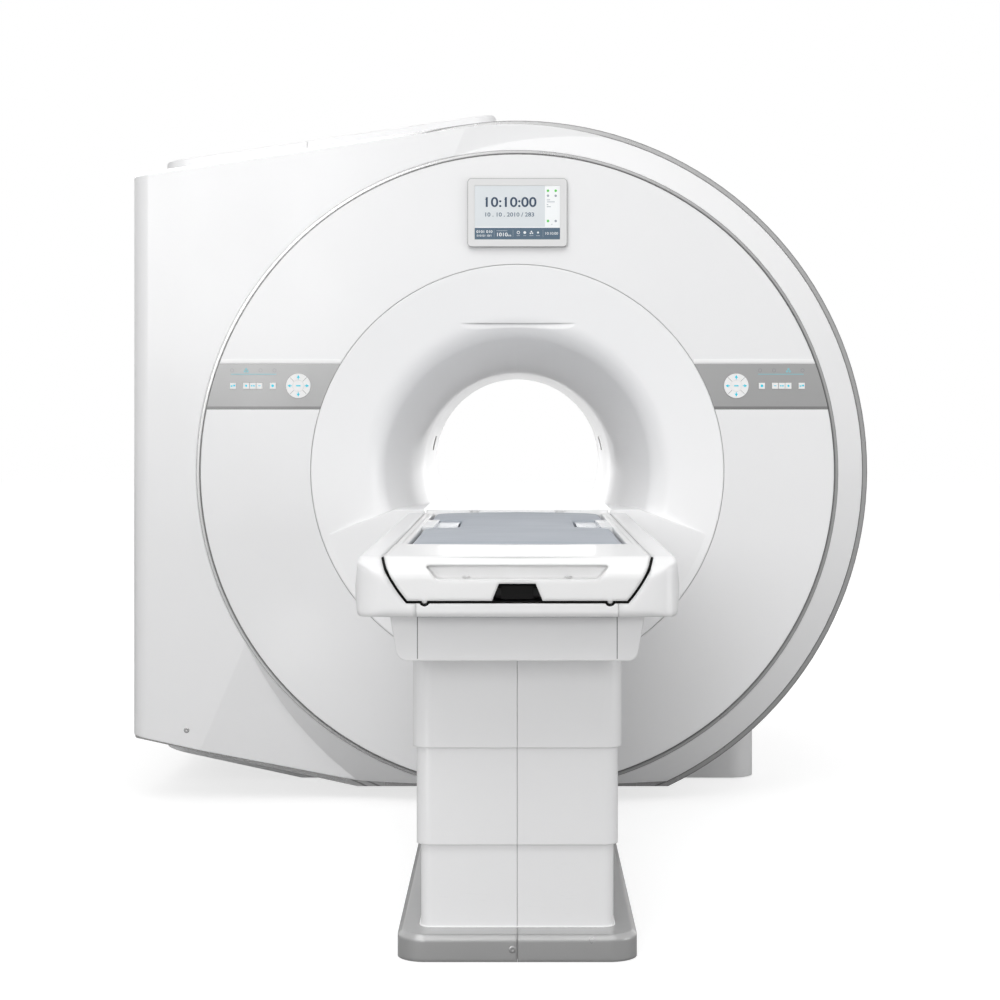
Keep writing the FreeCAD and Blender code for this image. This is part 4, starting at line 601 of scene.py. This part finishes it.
studioPlan = {
    "low": 0.48,
    "high": 0.80,
    "heightReach": (-0.1, 0.9),
    "sides": 0.6,
    "sideReach": (0.35, 0.95),
    "floorSize": 60,
    "floorHeight": -0.0005,
    "floorTone": (0.40, 0.40, 0.40),
    "floorLift": 0.72,
    "floorRough": 0.9,
    "floorShine": 0.1,
    # name, place, aim, size, power
    "lamps": [("overheadLamp", (-0.7, -4.4, 5.0), (-0.1, -1.6, 0.9), (4.5, 3.5), 105),
              ("frontLamp", (-3.6, -15.0, 3.6), (0.3, -1.2, 0.9), (4.0, 4.0), 355),
              ("backLamp", (0.8, 6.0, 1.8), (0, 0, 1.0), (5.0, 3.0), 58),
              ("lowLamp", (-0.95, -3.65, 0.20), (-0.1, -2.66, 0.25), (0.3, 0.3), 1.3),
              ("sideLamp", (4.6, -3.4, 0.9), (0.9, -0.5, 0.35), (2.2, 1.4), 38)],
}
makeCamera({"place": (0, -7.167, 1.163), "lens": 75.0, "sensor": 36.0, "shift": (-0.0173, -0.083), "reach": 60})
makeStudio(studioPlan)
print("camera and studio made")


# table pad

def makePad(pad):
    source = nodes["table_pad"]
    piece = bpy.data.objects.new("padCushion", source.data.copy())
    bpy.context.scene.collection.objects.link(piece)
    pick(piece)
    bpy.ops.object.mode_set(mode="EDIT")
    bpy.ops.mesh.select_all(action="SELECT")
    bpy.ops.mesh.remove_doubles(threshold=pad["weld"])
    bpy.ops.object.mode_set(mode="OBJECT")
    addModifier(piece, "REMESH", mode="VOXEL", voxel_size=pad["voxel"])
    lowest = min(v.co.z for v in piece.data.vertices)
    widest = max(v.co.x for v in piece.data.vertices)
    for vertex in piece.data.vertices:
        vertex.co.z = lowest + (vertex.co.z - lowest) * pad["slimmer"]
    rest = [v.co.copy() for v in piece.data.vertices]
    cloth = piece.modifiers.new("cloth", "CLOTH")
    cloth.settings.use_pressure = True
    cloth.settings.uniform_pressure_force = pad["pressure"]
    cloth.settings.effector_weights.gravity = 0
    cloth.settings.tension_stiffness = cloth.settings.compression_stiffness = pad["stiff"]
    cloth.settings.bending_stiffness = pad["bend"]
    cloth.point_cache.frame_start = 1
    cloth.point_cache.frame_end = pad["frames"]
    for step in range(1, pad["frames"] + 1):
        bpy.context.scene.frame_set(step)
    pick(piece)
    bpy.ops.object.modifier_apply(modifier=cloth.name)
    bpy.context.scene.frame_set(1)
    # no point moves past the cap, or out of the recess
    for vertex, start in zip(piece.data.vertices, rest):
        shift = vertex.co - start
        if shift.length > pad["cap"]:
            shift *= pad["cap"] / shift.length
        spot = start + shift
        spot.z = max(spot.z, lowest)
        spot.x = max(-widest, min(widest, spot.x))
        spot.y = max(pad["front"], min(pad["back"], spot.y))
        vertex.co = spot
    addModifier(piece, "CORRECTIVE_SMOOTH", iterations=pad["smooth"], use_only_smooth=True)
    pick(piece)
    bpy.ops.object.shade_smooth()
    dress(piece, finishes["pad_vinyl"].material, "tabletop")
    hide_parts("table_pad")


padPlan = {"weld": 0.00002, "voxel": 0.006, "slimmer": 0.96, "pressure": 2.5, "stiff": 40, "bend": 4,
           "frames": 20, "cap": 0.003, "smooth": 6, "front": -2.4258, "back": -0.9352}
makePad(padPlan)
print("pad made")


# painted shadow in the gap round the tabletop: a black cord round the nose and grey strips along the sides

def noseArc(gapShadow, angle):
    return gapShadow["radius"] * math.sin(angle), gapShadow["centre"] - gapShadow["radius"] * math.cos(angle)


def roundBar(name, run, thick, finish, body="table_lift", closed=False):
    curve = bpy.data.curves.new(name, "CURVE")
    curve.dimensions = "3D"
    curve.bevel_depth = thick / 2
    curve.bevel_resolution = 3
    curve.use_fill_caps = True
    spline = curve.splines.new("POLY")
    spline.points.add(len(run) - 1)
    spline.use_cyclic_u = closed
    for spot, place in zip(spline.points, run):
        spot.co = (*place, 1)
    piece = bpy.data.objects.new(name, curve)
    bpy.context.scene.collection.objects.link(piece)
    pick(piece)
    bpy.ops.object.convert(target="MESH")
    piece = bpy.context.object
    settle(piece)
    bpy.ops.object.shade_smooth_by_angle(angle=0.7)
    dress(piece, finishes[finish].material, body)


def makeGapShadow(gapShadow):
    lowAngle = math.acos((gapShadow["centre"] - gapShadow["floor"]) / gapShadow["radius"])
    topAngle = math.acos((gapShadow["centre"] - gapShadow["top"]) / gapShadow["radius"])
    # the lower run dips round each of the nose's two pins
    right = []
    for i in range(gapShadow["steps"] // 2 + 1):
        angle = math.pi * (1 + i / (gapShadow["steps"] // 2))
        right.append((gapShadow["pin"] + gapShadow["dip"] * math.cos(angle), gapShadow["front"],
                      gapShadow["floor"] + gapShadow["dip"] * math.sin(angle)))
    for i in range(gapShadow["steps"] + 1):
        x, z = noseArc(gapShadow, lowAngle + (topAngle - lowAngle) * i / gapShadow["steps"])
        slope = max(0.0, z - gapShadow["creaseTop"]) / gapShadow["slopeDrop"]
        right.append((x, gapShadow["front"] + gapShadow["slopeLong"] * slope, z))
    # the black cord round the nose is painted shadow, put in the gap where there is only shade
    roundBar("gapShadowCord", [(-x, y, z) for x, y, z in reversed(right)] + right, gapShadow["thick"], "shadow_black")
    x, y, z = right[-1]
    # grey strips sunk in the side gaps are painted shadow along the table
    for hand, side in hands:
        roundBar(f"{hand}GapShadowStrip", [(side * x, y, z - gapShadow["sunk"]), (side * x, gapShadow["end"], z - gapShadow["sunk"])],
                gapShadow["thin"], "shadow_grey")


gapShadowPlan = {"radius": 0.2997, "centre": 0.98052, "floor": 0.7841, "top": 0.8708, "steps": 24, "thick": 0.0054,
            "pin": 0.190, "dip": 0.0085, "thin": 0.0040, "sunk": 0.001,
            "front": -2.9030, "creaseTop": 0.850, "slopeDrop": 0.024, "slopeLong": 0.060, "end": -0.91}
makeGapShadow(gapShadowPlan)


def footBead(bead):
    # the rounded flange round the fixed shell's foot, where it meets the base; its tone, whiter than the shells',
    # is a painted highlight
    run = []
    for x, y, start in ((1, 1, 0), (-1, 1, 1), (-1, -1, 2), (1, -1, 3)):
        for i in range(bead["steps"] + 1):
            angle = (start + i / bead["steps"]) * math.pi / 2
            run.append((x * (bead["half"] - bead["corner"]) + bead["corner"] * math.cos(angle),
                        bead["middle"] + y * (bead["long"] - bead["corner"]) + bead["corner"] * math.sin(angle),
                        bead["height"]))
    roundBar("footBead", run, bead["thick"], "highlight_white", "gantry", True)


beadPlan = {"half": 0.2112, "middle": -2.0275, "long": 0.6292, "corner": 0.0277, "height": 0.0592, "thick": 0.0042,
            "steps": 6}
footBead(beadPlan)
print("seal made")


# screws, lock cap and wing edge

def markPiece(name, parts, finish, body):
    piece = joinUp(name, parts)
    dress(piece, finishes[finish].material, body)


screwShape = {"rim": 0.25, "crown": 0.35, "socket": 0.5, "socketDepth": 0.8, "chamfer": 0.2, "sunk": 0.0002}


def buttonScrew(name, place, normal, size, body):
    dropSelection()
    bpy.ops.mesh.primitive_cylinder_add(vertices=32, radius=size["radius"], depth=size["rise"],
                                        location=(0, 0, size["rise"] / 2))
    piece = bpy.context.object
    bpy.ops.object.mode_set(mode="EDIT")
    bpy.ops.mesh.select_mode(type="FACE")
    bpy.ops.mesh.select_all(action="DESELECT")
    bpy.ops.object.mode_set(mode="OBJECT")
    for face in piece.data.polygons:
        face.select = face.normal.z > 0.9
    bpy.ops.object.mode_set(mode="EDIT")
    bpy.ops.mesh.inset(thickness=size["radius"] * screwShape["rim"], depth=size["rise"] * screwShape["crown"])
    bpy.ops.mesh.inset(thickness=size["radius"] * screwShape["socket"], depth=0)
    bpy.ops.mesh.inset(thickness=0.0001, depth=-size["rise"] * screwShape["socketDepth"])
    bpy.ops.object.mode_set(mode="OBJECT")
    piece.rotation_euler = Vector(normal).to_track_quat("Z", "Y").to_euler()
    piece.location = Vector(place) - Vector(normal) * screwShape["sunk"]
    piece.name = name
    settle(piece)
    addModifier(piece, "BEVEL", width=size["rise"] * screwShape["chamfer"], segments=2, angle_limit=0.5)
    bpy.ops.object.shade_smooth_by_angle(angle=0.6)
    dress(piece, finishes["screw_steel"].material, body)


def wingReturn(edge):
    # the front cover's left edge turns inwards behind the wing, to the body's front
    dropSelection()
    bpy.ops.mesh.primitive_cube_add(size=1)
    piece = bpy.context.object
    piece.name = "wingReturn"
    for vertex in piece.data.vertices:
        inner = vertex.co.x > 0
        low, high = edge["innerHeights"] if inner else edge["outerHeights"]
        vertex.co.x = edge["inner"] if inner else edge["outer"]
        vertex.co.y = edge["back"] if vertex.co.y > 0 else edge["front"]
        vertex.co.z = high if vertex.co.z > 0 else low
    settle(piece)
    addModifier(piece, "BEVEL", width=edge["chamfer"], segments=2, angle_limit=0.5)
    dress(piece, finishes["cover_white"].material, "gantry")


wingEdge = {"outer": -1.1570, "inner": -1.0500, "front": -0.4745, "back": -0.4712, "chamfer": 0.0008,
            "outerHeights": (0.2150, 1.8750), "innerHeights": (0.1860, 1.8975)}
wingReturn(wingEdge)
baseScrew = {"x": -0.0105, "z": 0.0275, "radius": 0.0078, "rise": 0.0022}
spot, facing = surfaceAt("base_cover_left", baseScrew["x"], baseScrew["z"])
buttonScrew("baseScrew", spot, facing, baseScrew, "gantry")
wingCap = {"x": -0.997, "z": 0.219, "radius": 0.0085, "rise": 0.0016}
spot, facing = surfaceAt("front_outer_cover", wingCap["x"], wingCap["z"])
buttonScrew("wingCap", spot, facing, wingCap, "gantry")


def gripBumps(bump):
    # two low rests on the floor of the grip recess
    spots = []
    for side in (-1, 1):
        spot, _ = surfaceAt("tabletop_nose", side * bump["x"], bump["z"])
        dropSelection()
        bpy.ops.mesh.primitive_uv_sphere_add(segments=24, ring_count=12, radius=1, location=spot)
        ball = bpy.context.object
        ball.scale = bump["size"]
        settle(ball)
        bpy.ops.object.shade_smooth()
        spots.append(ball)
    markPiece("gripRests", spots, "tabletop_white", "tabletop")


gripPlan = {"x": 0.105, "z": 0.8335, "size": (0.0085, 0.0035, 0.0028)}
gripBumps(gripPlan)
print("screws made")


# marks on the keys, strips and screen

markPlan = {"thick": 0.00015, "chamfer": 0.2, "digitThick": 0.00012, "digitScale": 1.37}


def flatBar(x, z, wide, tall, front, thick=markPlan["thick"], turn=0.0):
    dropSelection()
    bpy.ops.mesh.primitive_cube_add(size=1, location=(x, front - thick / 2, z), rotation=(0, turn, 0))
    bar = bpy.context.object
    bar.scale = (wide, thick, tall)
    settle(bar)
    addModifier(bar, "BEVEL", width=min(wide, tall) * markPlan["chamfer"], segments=2, affect="EDGES",
                angle_limit=0.5, limit_method="ANGLE", offset_type="WIDTH")
    return bar


def flatDisc(x, z, radius, front, sides=20, turn=0.0, hole=0.0):
    dropSelection()
    bpy.ops.mesh.primitive_cylinder_add(vertices=sides, radius=radius, depth=markPlan["thick"],
                                        location=(x, front - markPlan["thick"] / 2, z),
                                        rotation=(math.pi / 2, turn, 0))
    disc = bpy.context.object
    if hole:
        bpy.ops.object.mode_set(mode="EDIT")
        bpy.ops.mesh.select_mode(type="FACE")
        bpy.ops.object.mode_set(mode="OBJECT")
        for face in disc.data.polygons:
            face.select = abs(face.normal.z) > 0.9
        bpy.ops.object.mode_set(mode="EDIT")
        bpy.ops.mesh.inset(thickness=radius - hole, depth=0)
        bpy.ops.mesh.bridge_edge_loops()
        bpy.ops.object.mode_set(mode="OBJECT")
    settle(disc)
    return disc


def digits(text, x, z, tall, front, bold, wide):
    dropSelection()
    bpy.ops.object.text_add(location=(0, 0, 0))
    item = bpy.context.object
    item.data.body = text
    item.data.align_x = "CENTER"
    item.data.align_y = "CENTER"
    item.data.size = tall * markPlan["digitScale"]
    item.data.extrude = markPlan["digitThick"] / 2
    item.data.offset = bold
    item.data.resolution_u = 4
    pick(item)
    bpy.ops.object.convert(target="MESH")
    item = bpy.context.object
    item.rotation_euler = (math.pi / 2, 0, 0)
    item.scale = (wide, 1, 1)
    item.location = (x, front - markPlan["digitThick"] / 2, z)
    settle(item)
    return item


keyPlan = {"front": -0.8895, "height": 1.257, "pad": 0.660, "offset": 0.0268, "arrow": 0.0058, "divide": 0.0270,
           "dash": (0.0135, 0.0038), "line": (0.0165, 0.0011),
           "stemBack": 0.0052, "stem": 0.0026, "stemLonger": 0.002}
# place along the strip, then the kind, offset and size of each mark
keyFaces = {
    "inner_key": (0.737, [("disc", 0, 0, 0.0042)]),
    "first_row_key": (0.777, [("bar", 0, 0, 0.0075, 0.0022)]),
    "second_row_key": (0.797, [("bar", -0.0038, 0, 0.0036, 0.0042), ("bar", 0.0012, 0, 0.0036, 0.0042),
                               ("bar", 0.0055, 0, 0.0024, 0.0042)]),
    "third_row_key": (0.817, [("disc", 0, 0, 0.0034)]),
    "outer_key": (0.857, [("disc", -0.0044, -0.0008, 0.0026), ("bar", 0, 0, 0.0014, 0.006),
                          ("disc", 0.0044, 0.0008, 0.0029)]),
}


def makeKeyMarks(keys, faces):
    for hand, side in hands:
        x, z, front = side * keys["pad"], keys["height"], keys["front"]
        arrows = []
        for dx, dz, turn in ((0, 1, 0.0), (0, -1, math.pi), (1, 0, math.pi / 2), (-1, 0, -math.pi / 2)):
            arrows.append(flatDisc(x + dx * keys["offset"], z + dz * keys["offset"], keys["arrow"], front, 3,
                                   turn=turn))
            inward = keys["offset"] - keys["stemBack"]
            arrows.append(flatBar(x + dx * inward, z + dz * inward, keys["stem"] + abs(dx) * keys["stemLonger"],
                                  keys["stem"] + abs(dz) * keys["stemLonger"], front))
        markPiece(f"{hand}PadMarks", arrows, "mark_cyan", f"{hand}_rocker_pad_body")
        lines = []
        for turn in (1, 3, 5, 7):
            angle = turn * math.pi / 4
            lines.append(flatBar(x + keys["divide"] * math.cos(angle), z + keys["divide"] * math.sin(angle),
                                 *keys["line"], front, turn=-angle))
        markPiece(f"{hand}PadLines", lines, "mark_faint", f"{hand}_rocker_pad_body")
        markPiece(f"{hand}CentreMark", [flatBar(x, z, *keys["dash"], front)], "mark_cyan",
                  f"{hand}_centre_key_body")
        for key, (place, drawn) in faces.items():
            parts = []
            for kind, dx, dz, *size in drawn:
                if kind == "disc":
                    parts.append(flatDisc(side * place + dx, z + dz, size[0], front))
                else:
                    parts.append(flatBar(side * place + dx, z + dz, *size, front))
            markPiece(f"{hand}{''.join(w.title() for w in key.split('_'))}Mark", parts, "mark_cyan",
                      f"{hand}_{key}_body")


def makeStripMarks(strip):
    for hand, side in hands:
        front = strip["front"]
        line = flatBar(side * strip["lineMiddle"], strip["lineHeight"], strip["lineLong"], strip["lineTall"], front)
        markPiece(f"{hand}StripLine", [line], "mark_line", "gantry")
        # painted highlight: a whiter bar along the strip's upper edge, for the light caught by the panel's edge
        # above it
        highlightBar = flatBar(side * strip["highlightMiddle"], strip["highlightHeight"], strip["highlightLong"], strip["highlightTall"], front,
                      strip["highlightThick"])
        markPiece(f"{hand}StripHighlight", [highlightBar], "highlight_white", "gantry")
        lit, faint = [], []
        for i, place in enumerate(strip["marks"]):
            parts = lit if i == 1 else faint
            if i == 1:
                for dx, dz in strip["trefoil"]:
                    parts.append(flatDisc(side * place + dx, strip["markHeight"] + dz, strip["leaf"], front, 16))
            else:
                parts.append(flatDisc(side * place, strip["markHeight"], strip["ring"], front, 24,
                                      hole=strip["ringHole"]))
        markPiece(f"{hand}StripLit", lit, "mark_line", "gantry")
        markPiece(f"{hand}StripFaint", faint, "mark_faint", "gantry")


stripPlan = {"front": -0.887, "lineMiddle": 0.7947, "lineLong": 0.137, "lineHeight": 1.2920, "lineTall": 0.0024,
             "marks": (0.8599, 0.8173, 0.7740, 0.7318), "markHeight": 1.3034,
             "trefoil": ((-0.0042, -0.003), (0.0042, -0.003), (0, 0.0038)), "leaf": 0.0036,
             "ring": 0.0056, "ringHole": 0.0045,
             # the painted highlight bar along the strip's upper edge
             "highlightMiddle": 0.7125, "highlightHeight": 1.3335, "highlightLong": 0.360, "highlightTall": 0.0085, "highlightThick": 0.0009}


# one unit of the layout is a fifth of a millimetre, counted to the right and down, and sizes are in metres
layoutPlan = {
    "front": displayPlan["front"],
    "corner": (-0.1285, 1.697),
    "cornerUnits": (205, 1013),
    "unit": 0.257 / 1255,
    # text, place, height, bold, wide
    "clock": ("10:10:00", 722, 472, 0.0302, 0.0007, 1.14),
    "ticks": ((382, 414), (662, 414)),
    "tick": (0.0088, 0.0036),
    "tickTurn": -0.75,
    "date": ("10 . 10 . 2010 / 283", 715, 650, 0.0125, 0.00025, 1.12),
    "green": ((1283, 297), (1397, 297), (1283, 742)),
    "greenSize": 0.0039,
    "grey": ((1283, 371), (1397, 371), (1397, 742)),
    "greySize": 0.0037,
    "greyRows": ((1289, 432, 0.0105), (1325, 461, 0.0235), (1276, 502, 0.005), (1295, 532, 0.012),
                 (1340, 790, 0.003)),
    "rowTall": 0.002,
    # place, width, height
    "faint": ((492, 925, 0.0006, 0.022), (605, 885, 0.033, 0.0014), (770, 925, 0.0006, 0.022),
              (1210, 925, 0.0006, 0.022), (848, 957, 0.0105, 0.0016), (942, 957, 0.0085, 0.0016),
              (1040, 957, 0.0115, 0.0016), (1137, 957, 0.0115, 0.0016)),
    # place, radius, hole
    "white": ((848, 911, 0.0048, 0.0030), (942, 911, 0.0042, 0), (1137, 911, 0.0031, 0),
              (1040, 897, 0.0023, 0), (1026, 923, 0.0023, 0), (1055, 921, 0.0023, 0)),
    "texts": (("0101 010", 350, 900, 0.0078, 0.00022, 1.2),
              ("010101 10/1", 348, 958, 0.0060, 0.00012, 1.1),
              ("1010", 606, 943, 0.0112, 0.0003, 1.15),
              ("000", 718, 957, 0.0048, 0.0001, 1.1),
              ("10:10:00", 1333, 926, 0.0080, 0.0001, 1.08)),
}


def makeScreenMarks(layout):
    front, unit = layout["front"], layout["unit"]

    def at(u, v):
        left, foot = layout["cornerUnits"]
        return layout["corner"][0] + (u - left) * unit, layout["corner"][1] + (foot - v) * unit

    def letters(text, u, v, tall, bold, wide):
        return digits(text, *at(u, v), tall, front, bold, wide)

    clock = [letters(*layout["clock"])]
    clock += [flatBar(*at(*place), *layout["tick"], front, turn=layout["tickTurn"]) for place in layout["ticks"]]
    markPiece("screenClock", clock, "mark_navy", "gantry")
    markPiece("screenDate", [letters(*layout["date"])], "mark_slate", "gantry")
    green = [flatDisc(*at(*place), layout["greenSize"], front) for place in layout["green"]]
    markPiece("screenGreen", green, "mark_green", "gantry")
    grey = [flatDisc(*at(*place), layout["greySize"], front) for place in layout["grey"]]
    grey += [flatBar(*at(u, v), wide, layout["rowTall"], front) for u, v, wide in layout["greyRows"]]
    markPiece("screenGrey", grey, "mark_grey", "gantry")
    faint = [flatBar(*at(u, v), wide, tall, front) for u, v, wide, tall in layout["faint"]]
    markPiece("screenFaint", faint, "mark_pale", "gantry")
    white = [flatDisc(*at(u, v), radius, front, hole=hole) for u, v, radius, hole in layout["white"]]
    white += [letters(*row) for row in layout["texts"]]
    markPiece("screenWhite", white, "mark_white", "gantry")


makeKeyMarks(keyPlan, keyFaces)
makeStripMarks(stripPlan)
makeScreenMarks(layoutPlan)
print("marks made")
